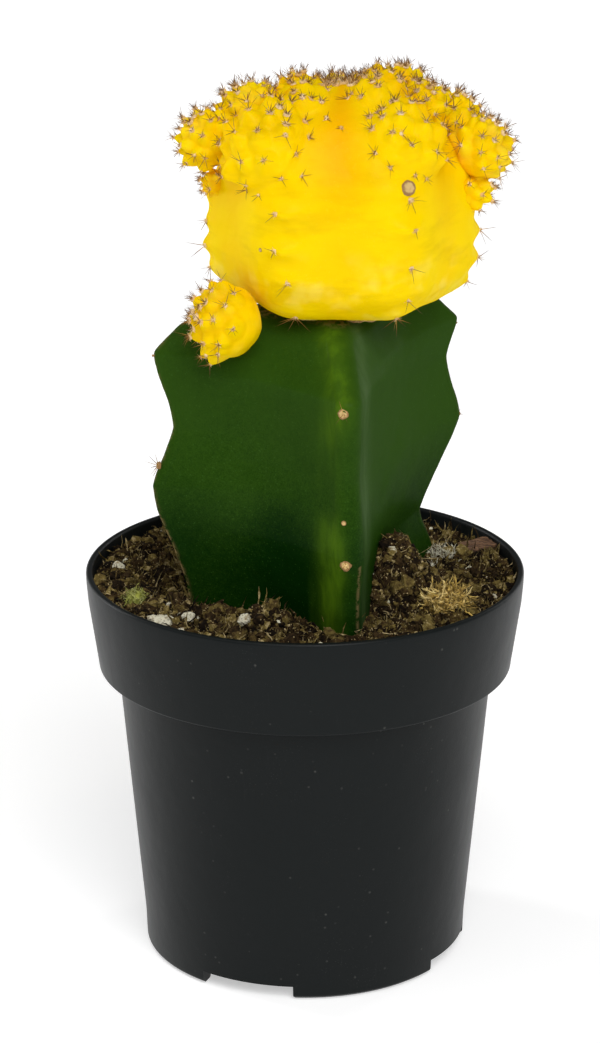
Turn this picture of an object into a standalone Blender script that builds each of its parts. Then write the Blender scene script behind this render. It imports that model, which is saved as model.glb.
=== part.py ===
"""Potted moon cactus: a yellow grafted globe with its offsets on a three-ribbed green rootstock,
planted in potting soil in a small plastic nursery pot.

Sizes are in millimetres here and become metres where a mesh is made. The origin is at the centre
of the pot's base, +Z points up, and -Y is the side that shows one rib of the rootstock.
"""

import math

import bmesh
import bpy
import numpy as np
from mathutils import Matrix, Vector, noise

MM = 0.001
GAP = 0.3  # clearance kept between pieces that touch

# Pot
RIM_RADIUS = 32.5
RIM_Z = 59.6
COLLAR_FOOT_RADIUS = 30.8
COLLAR_FOOT_Z = 44.9
BODY_TOP_RADIUS = 27.9
BODY_FOOT_RADIUS = 24.1
WALL = 0.9
FOOT_HEIGHT = 2.2
FOOT_WIDTH = 2.6
FOOT_GAP = 14.4
FOOT_TURN = -66.5  # azimuth of the first foot's middle, in degrees
FEET = 4
FLOOR_Z = 2.6
DRAIN_RADIUS = 1.8
DRAIN_CIRCLE = 14.0
POT_STEPS = 64

# Soil
SOIL_Z = 58.2
SOIL_STEPS = 48
SOIL_RINGS = 12

# Rootstock
STEM_FOOT_Z = 38.0
UNION_Z = 101.2
STEM_AXIS_LOW = (1.5, -4.0)
STEM_AXIS_HIGH = (3.2, -3.4)
STEM_TWIST = -6.0  # degrees that the ribs turn from the soil to the union
RIB_TIP = 1.3  # half thickness of a rib at its edge
RIB_END = 13.5  # least radius of a shaved rib
STEM_LEVEL_STEP = 2.4

# Scion
SCION_CENTRE = (5.1, -3.0, 114.0)
SCION_RADIUS = 18.5
SCION_UP, SCION_UP_POWER = 18.0, 2.3
SCION_DOWN, SCION_DOWN_POWER = 13.3, 3.1
SCION_RIBS = 6
SCION_RIB_TURN = -59.0
SCION_RIB_DEPTH = 0.035
SCION_TUBERCLE = 0.7


class Rib:
    """One rib of the rootstock: its azimuth, its crest as (height, radius) and its shaved shoulder."""

    def __init__(self, azimuth, crest, shoulder_slope):
        self.azimuth = azimuth
        self.crest = crest
        self.shoulder_z = crest[-1][0]
        self.shoulder_slope = shoulder_slope

    def radius(self, z):
        """Crest radius: eased between bumps and hollows, then shaved off above the shoulder."""
        heights = [h for h, _ in self.crest]
        index = min(max(int(np.searchsorted(heights, z)) - 1, 0), len(heights) - 2)
        (low, r_low), (high, r_high) = self.crest[index], self.crest[index + 1]
        share = min(max((z - low) / (high - low), 0.0), 1.0)
        eased = r_low + (r_high - r_low) * (1 - math.cos(math.pi * share)) / 2
        shaved = self.crest[-1][1] - (z - self.shoulder_z) * self.shoulder_slope
        return max(min(eased, shaved), RIB_END)


RIBS = (
    Rib(-77, [(STEM_FOOT_Z, 14), (58, 21.8), (63, 21.8), (70, 23.8), (81, 21.8), (93, 24.0)], 1.3),
    Rib(41, [(STEM_FOOT_Z, 14), (59, 23.1), (65.8, 20.1), (79.2, 25.9), (89.2, 21.9), (94.3, 22.5)], 1.22),
    Rib(202, [(STEM_FOOT_Z, 14), (58.6, 19.9), (77.5, 25.7), (84.6, 22.8), (96, 25.9)], 1.1),
)
FACE_HOLLOW = (0.74, 1.14, 0.90)  # pull of each face away from the axis, after each rib in turn

# Offsets on the scion: name, centre (x, y, z), radius, height share
OFFSETS = (
    ("offset_left_shoulder", (-14.4, -5.0, 125.9), 4.4, 0.95),
    ("offset_top_left", (-8.2, -3.4, 129.4), 4.6, 0.90),
    ("offset_top_middle", (-0.8, -0.4, 130.6), 4.4, 0.85),
    ("offset_front_left", (-4.4, -12.4, 125.6), 6.4, 0.95),
    ("offset_crest_left", (9.4, -1.6, 131.8), 3.8, 0.90),
    ("offset_crest_middle", (13.9, 3.0, 130.6), 4.4, 0.95),
    ("offset_crest_right", (16.6, -4.4, 130.4), 4.4, 0.90),
    ("offset_front_right", (12.9, -12.0, 126.0), 6.0, 0.95),
    ("offset_right_round", (21.2, -1.6, 127.6), 4.4, 0.95),
    ("offset_right_shoulder", (25.3, -5.0, 124.6), 4.4, 1.00),
    ("offset_back_left", (-5.6, 8.6, 126.2), 5.2, 0.92),
    ("offset_back_middle", (4.6, 11.6, 126.8), 5.0, 0.95),
    ("offset_back_right", (15.0, 9.6, 125.8), 5.4, 0.92),
    ("offset_left_bud", (-13.0, -5.0, 119.4), 2.1, 0.80),
    ("offset_right_bud", (24.2, -5.0, 118.4), 2.8, 0.85),
)
BUD_RADIUS = 3.0  # a smaller offset is a bud, with fewer tubercles
LOW_OFFSET = ("offset_low_left", (-10.9, -17.2, 102.0), 5.5, 1.08)

# Loose pieces on the soil: name, (x, y), size (x, y, z), turn
GRAINS = (
    ("perlite_front_left", (-20.4, -20.6), (4.4, 3.2, 2.2), 20),
    ("perlite_left", (-27.8, 2.0), (1.9, 1.6, 1.9), 0),
    ("perlite_by_stem", (-8.6, -22.6), (2.2, 1.8, 1.9), 40),
    ("perlite_front", (-16.9, -18.8), (2.2, 1.8, 1.4), 75),
    ("moss_lump", (-24.8, -11.6), (3.0, 2.4, 2.2), 15),
    ("sphagnum_clump", (20.6, -15.2), (5.6, 4.4, 3.0), 25),
)
BARK_CHIP = ("bark_chip", (26.2, 11.8), (5.2, 3.0, 1.2), 35)

# Mounds (+) and pits (-) of the soil: (x, y), radius, height
MOUNDS = (
    ((13.0, -7.5), 10.5, 7.6),
    ((-5.5, -21.5), 5.2, 3.2),
    ((20.5, -15.0), 6.0, 1.0),
    ((1.6, -26.0), 4.2, -1.8),
    ((-19.5, -5.0), 5.0, -3.0),
)

COLOURS = {
    "black_plastic": ((0.018, 0.020, 0.020), 0.42),
    "potting_soil": ((0.085, 0.055, 0.025), 0.95),
    "green_skin": ((0.030, 0.085, 0.010), 0.40),
    "yellow_flesh": ((0.95, 0.64, 0.004), 0.45),
    "white_mineral": ((0.62, 0.60, 0.52), 0.90),
    "pale_moss": ((0.50, 0.38, 0.12), 0.95),
    "bark": ((0.16, 0.085, 0.045), 0.85),
}


def clear_scene():
    for thing in list(bpy.data.objects):
        bpy.data.objects.remove(thing, do_unlink=True)


def new_collection(name):
    collection = bpy.data.collections.new(name)
    bpy.context.scene.collection.children.link(collection)
    return collection


def make_material(name):
    """A Principled material in one of the object's finishes."""
    colour, roughness = COLOURS[name]
    material = bpy.data.materials.new(name)
    material.use_nodes = True
    shader = material.node_tree.nodes["Principled BSDF"]
    shader.inputs["Base Color"].default_value = (*colour, 1)
    shader.inputs["Roughness"].default_value = roughness
    shader.inputs["Metallic"].default_value = 0.0
    material.diffuse_color = (*colour, 1)
    return material


def add_object(name, mesh, collection, material=None):
    thing = bpy.data.objects.new(name, mesh)
    collection.objects.link(thing)
    if material:
        mesh.materials.clear()
        mesh.materials.append(material)
    return thing


def hide_cutter(thing):
    thing.hide_render = True
    thing.display_type = "WIRE"


def mesh_from(name, build):
    """A mesh that the given function fills through bmesh, with its faces turned outwards."""
    working = bmesh.new()
    build(working)
    bmesh.ops.recalc_face_normals(working, faces=working.faces)
    mesh = bpy.data.meshes.new(name)
    working.to_mesh(mesh)
    working.free()
    return mesh


def turned(name, profile, steps, collection, material=None):
    """A turned solid: the (radius, height) profile runs down the outer side and closes on the axis."""
    mesh = bpy.data.meshes.new(name)
    points = [(r * MM, 0, z * MM) for r, z in profile]
    mesh.from_pydata(points, [(i, i + 1) for i in range(len(points) - 1)], [])
    thing = add_object(name, mesh, collection, material)
    screw = thing.modifiers.new("turn", "SCREW")
    screw.steps = steps
    screw.render_steps = steps
    screw.use_merge_vertices = True
    screw.merge_threshold = 0.00001
    screw.use_smooth_shade = True
    return thing


def made_real(thing):
    """Replaces the object's modifiers by the mesh that they make."""
    graph = bpy.context.evaluated_depsgraph_get()
    mesh = bpy.data.meshes.new_from_object(thing.evaluated_get(graph))
    thing.modifiers.clear()
    thing.data = mesh
    return thing


def cut(thing, cutter, solver="EXACT"):
    boolean = thing.modifiers.new("cut_" + cutter.name, "BOOLEAN")
    boolean.operation = "DIFFERENCE"
    boolean.solver = solver
    boolean.object = cutter


def shade_smooth(thing, angle=40):
    thing.data.shade_smooth()
    thing.data.set_sharp_from_angle(angle=math.radians(angle))


# ---------------------------------------------------------------- pot


def wall_radius(z):
    """Inner radius of the pot at a height, wall and collar included."""
    if z > COLLAR_FOOT_Z + WALL:
        share = (z - COLLAR_FOOT_Z) / (RIM_Z - COLLAR_FOOT_Z)
        return COLLAR_FOOT_RADIUS + share * (RIM_RADIUS - COLLAR_FOOT_RADIUS) - WALL
    share = (z - FOOT_HEIGHT) / (COLLAR_FOOT_Z - FOOT_HEIGHT)
    return BODY_FOOT_RADIUS + share * (BODY_TOP_RADIUS - BODY_FOOT_RADIUS) - WALL


def corner(centre, radius, first, last, steps):
    """Points of an arc, as (radius, height), with its angles in degrees."""
    angles = np.radians(np.linspace(first, last, steps))
    return [(centre[0] + radius * math.cos(a), centre[1] + radius * math.sin(a)) for a in angles]


def pot_profile():
    floor_top = FLOOR_Z + WALL
    inside = [
        (0, floor_top),
        (wall_radius(floor_top) - 1.5, floor_top),
        (wall_radius(floor_top + 1.5), floor_top + 1.5),
        (wall_radius(COLLAR_FOOT_Z), COLLAR_FOOT_Z + WALL / 2),
        (wall_radius(COLLAR_FOOT_Z + 1.4), COLLAR_FOOT_Z + 1.4),
    ]
    lip = corner((RIM_RADIUS - WALL / 2, RIM_Z - WALL / 2), WALL / 2, 180, 0, 5)
    outside = [
        (COLLAR_FOOT_RADIUS, COLLAR_FOOT_Z + 0.3),
        (COLLAR_FOOT_RADIUS - 0.3, COLLAR_FOOT_Z),
        (BODY_TOP_RADIUS + 0.4, COLLAR_FOOT_Z - 0.1),
        (BODY_TOP_RADIUS, COLLAR_FOOT_Z - 0.6),
        (BODY_FOOT_RADIUS + 0.2, 4.4),
        (BODY_FOOT_RADIUS, 3.0),
    ]
    ring = [
        (BODY_FOOT_RADIUS - 0.4, FOOT_HEIGHT - 0.2),
        (BODY_FOOT_RADIUS - 0.6, 0.0),
        (BODY_FOOT_RADIUS - FOOT_WIDTH, 0.0),
        (BODY_FOOT_RADIUS - FOOT_WIDTH - 0.2, FLOOR_Z),
        (0, FLOOR_Z),
    ]
    return inside + lip + outside + ring


def build_pot(parts, cutters):
    pot = turned("pot", pot_profile(), POT_STEPS, parts, make_material("black_plastic"))
    for index in range(FEET):
        azimuth = math.radians(FOOT_TURN + 360 / FEET * (index + 0.5))
        bpy.ops.mesh.primitive_cube_add(size=1)
        gap = bpy.context.object
        gap.name = f"foot_gap_{index + 1}"
        gap.scale = (12 * MM, FOOT_GAP * MM, 2 * FOOT_HEIGHT * MM)
        gap.rotation_euler.z = azimuth
        gap.location = Vector((math.cos(azimuth), math.sin(azimuth), 0)) * (BODY_FOOT_RADIUS - 2) * MM
        move_to(gap, cutters)
        cut(pot, gap)
    for index in range(FEET + 1):
        azimuth = math.radians(FOOT_TURN + 360 / FEET * index)
        reach = DRAIN_CIRCLE * MM if index < FEET else 0
        bpy.ops.mesh.primitive_cylinder_add(vertices=14, radius=DRAIN_RADIUS * MM, depth=4 * MM)
        hole = bpy.context.object
        hole.name = f"drain_hole_{index + 1}"
        hole.location = (math.cos(azimuth) * reach, math.sin(azimuth) * reach, (FLOOR_Z + 0.4) * MM)
        move_to(hole, cutters)
        cut(pot, hole)
    return pot


def move_to(thing, collection):
    """Moves a cutter into the cutters' collection and hides it from the render."""
    for old in list(thing.users_collection):
        old.objects.unlink(thing)
    collection.objects.link(thing)
    hide_cutter(thing)


# ---------------------------------------------------------------- soil


def soil_height(x, y):
    """Height of the soil at a point: level, slightly uneven, with its mounds and pits."""
    height = SOIL_Z + 0.45 * noise.noise(Vector((x / 5, y / 5, 3.7)))
    for (cx, cy), radius, rise in MOUNDS:
        distance = math.hypot(x - cx, y - cy) / radius
        if distance < 1:
            height += rise * (0.5 + 0.5 * math.cos(math.pi * distance))
    edge = wall_radius(SOIL_Z) - math.hypot(x, y)
    return min(height, SOIL_Z + 0.6 * max(edge, 0))


def soil_profile():
    top = wall_radius(SOIL_Z) - GAP
    rings = [(top * i / SOIL_RINGS, SOIL_Z) for i in range(SOIL_RINGS + 1)]
    sides = [
        (wall_radius(COLLAR_FOOT_Z + 1.6) - GAP, COLLAR_FOOT_Z + 1.6),
        (wall_radius(COLLAR_FOOT_Z) - GAP, COLLAR_FOOT_Z + WALL / 2 + GAP),
        (wall_radius(FLOOR_Z + 3) - GAP, FLOOR_Z + 3),
        (wall_radius(FLOOR_Z + 3) - 2, FLOOR_Z + WALL + GAP),
        (0, FLOOR_Z + WALL + GAP),
    ]
    return rings + sides


def build_soil(parts, holes):
    soil = made_real(turned("soil", soil_profile(), SOIL_STEPS, parts, make_material("potting_soil")))
    for vertex in soil.data.vertices:
        if vertex.co.z > (SOIL_Z - 0.01) * MM:
            vertex.co.z = soil_height(vertex.co.x / MM, vertex.co.y / MM) * MM
    for hole in holes:
        cut(soil, hole)
    return soil


# ---------------------------------------------------------------- rootstock


def stem_levels():
    """Heights of the sections: every bump, hollow and shoulder, and enough between them."""
    keys = sorted({h for rib in RIBS for h, _ in rib.crest} | {UNION_Z})
    levels = [keys[0]]
    for low, high in zip(keys, keys[1:]):
        steps = math.ceil((high - low) / (STEM_LEVEL_STEP if low >= 58 else 3 * STEM_LEVEL_STEP))
        levels += [low + (high - low) * (i + 1) / steps for i in range(steps)]
    return levels


def stem_ring(z, grow):
    """One level section: a rounded nose on each rib and a shallow curved face between two ribs."""
    share = min(max((z - SOIL_Z) / (UNION_Z - SOIL_Z), 0.0), 1.0)
    centre = Vector(STEM_AXIS_LOW).lerp(Vector(STEM_AXIS_HIGH), share)
    half = RIB_TIP + grow
    noses = []
    for rib in RIBS:
        azimuth = math.radians(rib.azimuth + STEM_TWIST * share)
        out = Vector((math.cos(azimuth), math.sin(azimuth)))
        side = Vector((-out.y, out.x))
        reach = rib.radius(z) + grow
        noses.append([
            out * (reach - 1.5) - side * half,
            out * (reach - 0.4) - side * half * 0.72,
            out * reach,
            out * (reach - 0.4) + side * half * 0.72,
            out * (reach - 1.5) + side * half,
        ])
    points = []
    for index, nose in enumerate(noses):
        points += nose
        start, end = nose[-1], noses[(index + 1) % len(noses)][0]
        pull = (start + end) * 0.5 * FACE_HOLLOW[index]
        pull += pull.normalized() * grow
        for t in (0.14, 0.3, 0.5, 0.7, 0.86):
            points.append(start * (1 - t) ** 2 + pull * (2 * t * (1 - t)) + end * t ** 2)
    return [Vector((p.x + centre.x, p.y + centre.y, z)) * MM for p in points]


def fill_stem(working, grow=0.0):
    """Lofts the sections and closes both ends with a flat face."""
    levels = stem_levels()
    levels[0] -= grow
    levels[-1] += grow
    rings = [[working.verts.new(p) for p in stem_ring(z, grow)] for z in levels]
    count = len(rings[0])
    for low, high in zip(rings, rings[1:]):
        for i in range(count):
            j = (i + 1) % count
            working.faces.new((low[i], low[j], high[j], high[i]))
    working.faces.new(list(reversed(rings[0])))
    working.faces.new(rings[-1])


def build_rootstock(parts):
    mesh = mesh_from("rootstock", fill_stem)
    stem = add_object("rootstock", mesh, parts, make_material("green_skin"))
    shade_smooth(stem)
    return stem


# ---------------------------------------------------------------- scion and offsets


def scion_point(direction, grow):
    """Where a direction from the scion's centre meets its ribbed, tubercled and flat-based globe."""
    azimuth = math.atan2(direction.y, direction.x)
    phase = SCION_RIBS * (azimuth - math.radians(SCION_RIB_TURN))
    level = direction.z
    power, reach = (SCION_UP_POWER, SCION_UP) if level > 0 else (SCION_DOWN_POWER, SCION_DOWN)
    round_share = max(1 - abs(level) ** power, 0.0) ** (1 / power)
    rib = 1 + math.cos(phase) * SCION_RIB_DEPTH
    crest = max(math.cos(phase), 0.0) ** 4
    bumps = SCION_TUBERCLE * crest * math.cos(math.pi * level * 4.2 + 0.4)
    radius = (SCION_RADIUS * rib + bumps) * round_share + grow * min(2 * round_share, 1)
    height = reach * level + grow * level
    if level > 0.85:
        height -= 1.4 * ((level - 0.85) / 0.15) ** 2
    height = max(height, UNION_Z + GAP - grow - SCION_CENTRE[2])
    spot = Vector((math.cos(azimuth) * radius, math.sin(azimuth) * radius, height))
    return (Vector(SCION_CENTRE) + spot) * MM


def scion_mesh(name, grow=0.0):
    def build(working):
        bmesh.ops.create_uvsphere(working, u_segments=SCION_RIBS * 7, v_segments=22, radius=1)
        for vertex in working.verts:
            vertex.co = scion_point(vertex.co.normalized(), grow)
    return mesh_from(name, build)


def offset_mesh(name, centre, radius, tallness, seed, grow=0.0):
    """A small tubercled globe; its tubercles stand in staggered rows."""
    around, segments, rings = (7, 21, 10) if radius > BUD_RADIUS else (5, 15, 8)

    def build(working):
        bmesh.ops.create_uvsphere(working, u_segments=segments, v_segments=rings, radius=1)
        for vertex in working.verts:
            ray = vertex.co.normalized()
            azimuth = math.atan2(ray.y, ray.x)
            polar = math.acos(max(-1, min(1, ray.z)))
            wave = math.cos(around * azimuth + seed) * math.cos(5 * polar + seed) * math.sin(polar)
            swell = radius * (1 + 0.10 * wave) + grow
            vertex.co = Vector((ray.x, ray.y, ray.z * tallness)) * swell * MM
        bmesh.ops.translate(working, verts=working.verts, vec=Vector(centre) * MM)
    return mesh_from(name, build)


def build_scion(parts, cutters, stem_clearance):
    """The scion and its offsets. Each offset is cut clear of the scion and of those made before it."""
    flesh = make_material("yellow_flesh")
    scion = add_object("scion", scion_mesh("scion"), parts, flesh)
    shade_smooth(scion)
    scion_clearance = add_object("scion_clearance", scion_mesh("scion_clearance", GAP), cutters)
    hide_cutter(scion_clearance)
    made = []
    for seed, (name, centre, radius, tallness) in enumerate((*OFFSETS, LOW_OFFSET)):
        offset = add_object(name, offset_mesh(name, centre, radius, tallness, seed), parts, flesh)
        cut(offset, scion_clearance, "MANIFOLD")
        for other, other_centre, other_radius in made:
            distance = (Vector(centre) - Vector(other_centre)).length
            if distance < 1.15 * (radius + other_radius) + 1:
                cut(offset, other, "MANIFOLD")
        shade_smooth(offset)
        wide = offset_mesh(name + "_clearance", centre, radius, tallness, seed, GAP)
        clearance = add_object(name + "_clearance", wide, cutters)
        hide_cutter(clearance)
        made.append((clearance, centre, radius))
    cut(bpy.data.objects[LOW_OFFSET[0]], stem_clearance, "MANIFOLD")


# ---------------------------------------------------------------- loose pieces on the soil


def grain_mesh(name, size, grow=0.0):
    """A small rough lump that fills a box of the given size."""
    def build(working):
        bmesh.ops.create_icosphere(working, subdivisions=2, radius=0.5)
        for vertex in working.verts:
            ray = vertex.co.normalized()
            rough = 1 + 0.16 * noise.noise(ray * 2.3 + Vector((size[0], size[1], 0)))
            vertex.co = Vector([ray[i] * (size[i] / 2 * rough + grow) * MM for i in range(3)])
    return mesh_from(name, build)


def chip_mesh(name, size, grow=0.0):
    """A bevelled flake of bark."""
    def build(working):
        bmesh.ops.create_cube(working, size=1)
        sides = [(s + 2 * grow) * MM for s in size]
        bmesh.ops.scale(working, verts=working.verts, vec=sides)
        bmesh.ops.bevel(working, geom=working.edges[:], offset=0.3 * MM, segments=1, affect="EDGES")
    return mesh_from(name, build)


def place(thing, spot, size, turn, sunk, tilt=0.0):
    """Sets a piece on the soil, sunk by a share of its height."""
    height = soil_height(*spot) + size[2] * (0.5 - sunk)
    thing.matrix_world = (
        Matrix.Translation(Vector((*spot, height)) * MM)
        @ Matrix.Rotation(math.radians(turn), 4, "Z")
        @ Matrix.Rotation(math.radians(tilt), 4, "X")
    )


def build_grains(parts, cutters):
    """The loose pieces, and the pockets that they sit in."""
    pockets = []
    finish = {"perlite": make_material("white_mineral"), "other": make_material("pale_moss")}
    for name, spot, size, turn in GRAINS:
        material = finish["perlite" if name.startswith("perlite") else "other"]
        grain = add_object(name, grain_mesh(name, size), parts, material)
        place(grain, spot, size, turn, 0.35)
        shade_smooth(grain)
        pocket = add_object(name + "_pocket", grain_mesh(name, size, GAP), cutters)
        place(pocket, spot, size, turn, 0.35)
        pockets.append(pocket)
    name, spot, size, turn = BARK_CHIP
    chip = add_object(name, chip_mesh(name, size), parts, make_material("bark"))
    pocket = add_object(name + "_pocket", chip_mesh(name, size, GAP), cutters)
    for thing in (chip, pocket):
        place(thing, spot, size, turn, 0.3, tilt=12)
    pockets.append(pocket)
    for pocket in pockets:
        hide_cutter(pocket)
    return pockets


def main():
    clear_scene()
    parts = new_collection("potted_moon_cactus")
    cutters = new_collection("cutters")
    build_pot(parts, cutters)
    build_rootstock(parts)
    wide_stem = mesh_from("stem_clearance", lambda working: fill_stem(working, GAP))
    stem_clearance = add_object("stem_clearance", wide_stem, cutters)
    hide_cutter(stem_clearance)
    pockets = build_grains(parts, cutters)
    build_soil(parts, [stem_clearance, *pockets])
    build_scion(parts, cutters, stem_clearance)


main()
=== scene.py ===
"""Looks of the potted moon cactus: every surface and small part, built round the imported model.

Sizes are in millimetres in the classes and become metres where a mesh is made. The origin is at
the centre of the pot's base, +Z points up, and -Y is the side that shows one rib of the rootstock.
"""

import logging
import math
import random
from dataclasses import dataclass
from enum import Enum
from typing import Any, Sequence

import bmesh
import bpy
import numpy as np
from mathutils import Matrix, Vector, noise
from mathutils.bvhtree import BVHTree

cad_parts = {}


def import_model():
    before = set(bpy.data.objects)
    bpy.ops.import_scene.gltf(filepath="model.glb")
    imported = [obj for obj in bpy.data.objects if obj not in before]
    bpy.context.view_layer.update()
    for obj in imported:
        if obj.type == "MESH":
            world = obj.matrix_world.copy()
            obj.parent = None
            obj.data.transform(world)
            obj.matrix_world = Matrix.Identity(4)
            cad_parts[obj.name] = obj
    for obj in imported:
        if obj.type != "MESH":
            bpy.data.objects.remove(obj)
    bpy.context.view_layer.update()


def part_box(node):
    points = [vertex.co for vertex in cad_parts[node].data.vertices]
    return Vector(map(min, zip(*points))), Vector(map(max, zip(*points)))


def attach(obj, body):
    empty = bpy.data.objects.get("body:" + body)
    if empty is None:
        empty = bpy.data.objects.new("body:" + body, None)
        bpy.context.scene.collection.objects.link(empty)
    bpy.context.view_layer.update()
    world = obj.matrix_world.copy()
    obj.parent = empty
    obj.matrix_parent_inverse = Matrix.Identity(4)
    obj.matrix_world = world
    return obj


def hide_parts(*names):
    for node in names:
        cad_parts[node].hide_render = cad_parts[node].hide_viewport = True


LOG = logging.getLogger("moon_cactus")
MM = 0.001
GOLDEN_ANGLE = math.pi * (3 - math.sqrt(5))
BODY = "root"
SOIL_SEED = 31
MOSS_SEED = 51
FLUFF_SEED = 61
STEM_SEED = 71
GLOBE_SEED = 91

Feed = Any  # what a socket takes: a number, a tuple, a data-block or another Socket


class Slot(Enum):
    """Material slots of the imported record."""

    PLASTIC = "black_plastic"
    SOIL = "potting_soil"
    SKIN = "green_skin"
    FLESH = "yellow_flesh"
    MINERAL = "white_mineral"
    MOSS = "pale_moss"
    BARK = "bark"


# ---------------------------------------------------------------- node graphs


class Socket:
    """A node's output. Arithmetic on it adds Math nodes to its graph."""

    def __init__(self, graph: "Graph", socket: bpy.types.NodeSocket) -> None:
        """Wrap one output socket of a graph's tree."""
        self.graph = graph
        self.socket = socket

    def math(self, operation: str, first: Feed, second: Feed = 0.0) -> "Socket":
        """Add a Math node.

        Args:
            operation: what the node does.
            first: its first operand.
            second: its second operand.

        Returns:
            The node's output.
        """
        return self.graph.node("ShaderNodeMath", {"operation": operation}, {0: first, 1: second})

    def __add__(self, other: Feed) -> "Socket":
        """Add."""
        return self.math("ADD", self, other)

    def __sub__(self, other: Feed) -> "Socket":
        """Subtract."""
        return self.math("SUBTRACT", self, other)

    def __rsub__(self, other: Feed) -> "Socket":
        """Subtract from a number."""
        return self.math("SUBTRACT", other, self)

    def __mul__(self, other: Feed) -> "Socket":
        """Multiply."""
        return self.math("MULTIPLY", self, other)

    def __pow__(self, other: Feed) -> "Socket":
        """Raise to a power."""
        return self.math("POWER", self, other)

    __radd__ = __add__

    def between(self, low: float, high: float) -> "Socket":
        """Ease from 0 at low to 1 at high, and stay there beyond them."""
        spots = {0: self, 1: low, 2: high, 3: 0.0, 4: 1.0}
        return self.graph.node("ShaderNodeMapRange", {"interpolation_type": "SMOOTHSTEP"}, spots)

    def also(self, name: str) -> "Socket":
        """Another output of the same node."""
        return Socket(self.graph, self.socket.node.outputs[name])


class Graph:
    """A node tree that is being written."""

    def __init__(self, tree: bpy.types.NodeTree) -> None:
        """Write into the given tree."""
        self.tree = tree

    def node(self, kind: str, settings: dict | None = None, sockets: dict | None = None) -> Socket:
        """Add a node.

        Args:
            kind: the node's type.
            settings: its properties, set first; "stops" are a ramp's (place, colour) pairs.
            sockets: values or links of its inputs, by name or index.

        Returns:
            The node's first output that is in use.
        """
        made = self.tree.nodes.new(kind)
        for name, value in (settings or {}).items():
            if name == "stops":
                self._set_stops(made.color_ramp, value)
            else:
                setattr(made, name, value)
        for name, value in (sockets or {}).items():
            self.feed(made.inputs[name], value)
        return Socket(self, next(out for out in made.outputs if out.enabled)) if made.outputs else None

    def feed(self, target: bpy.types.NodeSocket, value: Feed) -> None:
        """Link a Socket to an input, or set the input's own value.

        Args:
            target: the input.
            value: what it gets.
        """
        if isinstance(value, Socket):
            self.tree.links.new(value.socket, target)
        elif target.type == "RGBA" and len(value) == 3:
            target.default_value = (*value, 1.0)
        else:
            target.default_value = value

    @staticmethod
    def _set_stops(ramp: bpy.types.ColorRamp, stops: Sequence[tuple[float, tuple]]) -> None:
        """Give a ramp its stops.

        Args:
            ramp: the ramp.
            stops: its (place, colour) pairs.
        """
        while len(ramp.elements) < len(stops):
            ramp.elements.new(1.0)
        for element, (place, colour) in zip(ramp.elements, stops):
            element.position = place
            element.color = (*colour, 1.0)

    def noise(self, where: Socket, per_mm: float, detail: float = 3.0, rough: float = 0.55) -> Socket:
        """Noise from 0 to 1 with the given number of waves to a millimetre."""
        spots = {"Vector": where, "Scale": per_mm, "Detail": detail, "Roughness": rough}
        return self.node("ShaderNodeTexNoise", None, spots)


class SurfaceGraph(Graph):
    """A material's node tree."""

    def millimetres(self, stretch: tuple[float, float, float] = (1, 1, 1)) -> Socket:
        """Object coordinates in millimetres, stretched per axis."""
        place = self.node("ShaderNodeTexCoord").also("Object")
        scale = tuple(s / MM for s in stretch)
        return self.node("ShaderNodeMapping", None, {"Vector": place, "Scale": scale})

    def attribute(self, name: str) -> Socket:
        """A value that the mesh carries at its points."""
        return self.node("ShaderNodeAttribute", {"attribute_name": name}).also("Fac")

    def mix(self, share: Feed, first: Feed, second: Feed, mode: str = "MIX") -> Socket:
        """Blend two colours."""
        settings = {"data_type": "RGBA", "blend_type": mode}
        return self.node("ShaderNodeMix", settings, {0: share, 6: first, 7: second})

    def ramp(self, share: Socket, stops: Sequence[tuple[float, tuple]]) -> Socket:
        """Colour by a value."""
        return self.node("ShaderNodeValToRGB", {"stops": stops}, {"Fac": share})

    def dots(self, where: Socket, per_mm: float, size: float) -> Socket:
        """Small round spots: 1 in their middle and 0 past the given size."""
        distance = self.node("ShaderNodeTexVoronoi", None, {"Vector": where, "Scale": per_mm})
        return 1 - distance.between(size * 0.4, size)

    def bump(self, height: Socket, depth: float, after: Socket | None = None) -> Socket:
        """Raise the surface by a height in 0 to 1, with a depth in millimetres.

        Args:
            height: the height.
            depth: how deep a height of 1 is, in millimetres.
            after: a coarser or finer bump that this one is added to.

        Returns:
            The bumped normal.
        """
        sockets = {"Height": height, "Distance": depth * MM, "Strength": 1.0}
        if after:
            sockets["Normal"] = after
        return self.node("ShaderNodeBump", None, sockets)

    def surface(self, **sockets: Feed) -> None:
        """End the tree in one Principled surface; underscores in names stand for spaces."""
        named = {name.replace("_", " "): value for name, value in sockets.items()}
        shader = self.node("ShaderNodeBsdfPrincipled", None, named)
        self.node("ShaderNodeOutputMaterial", None, {"Surface": shader})


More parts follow.
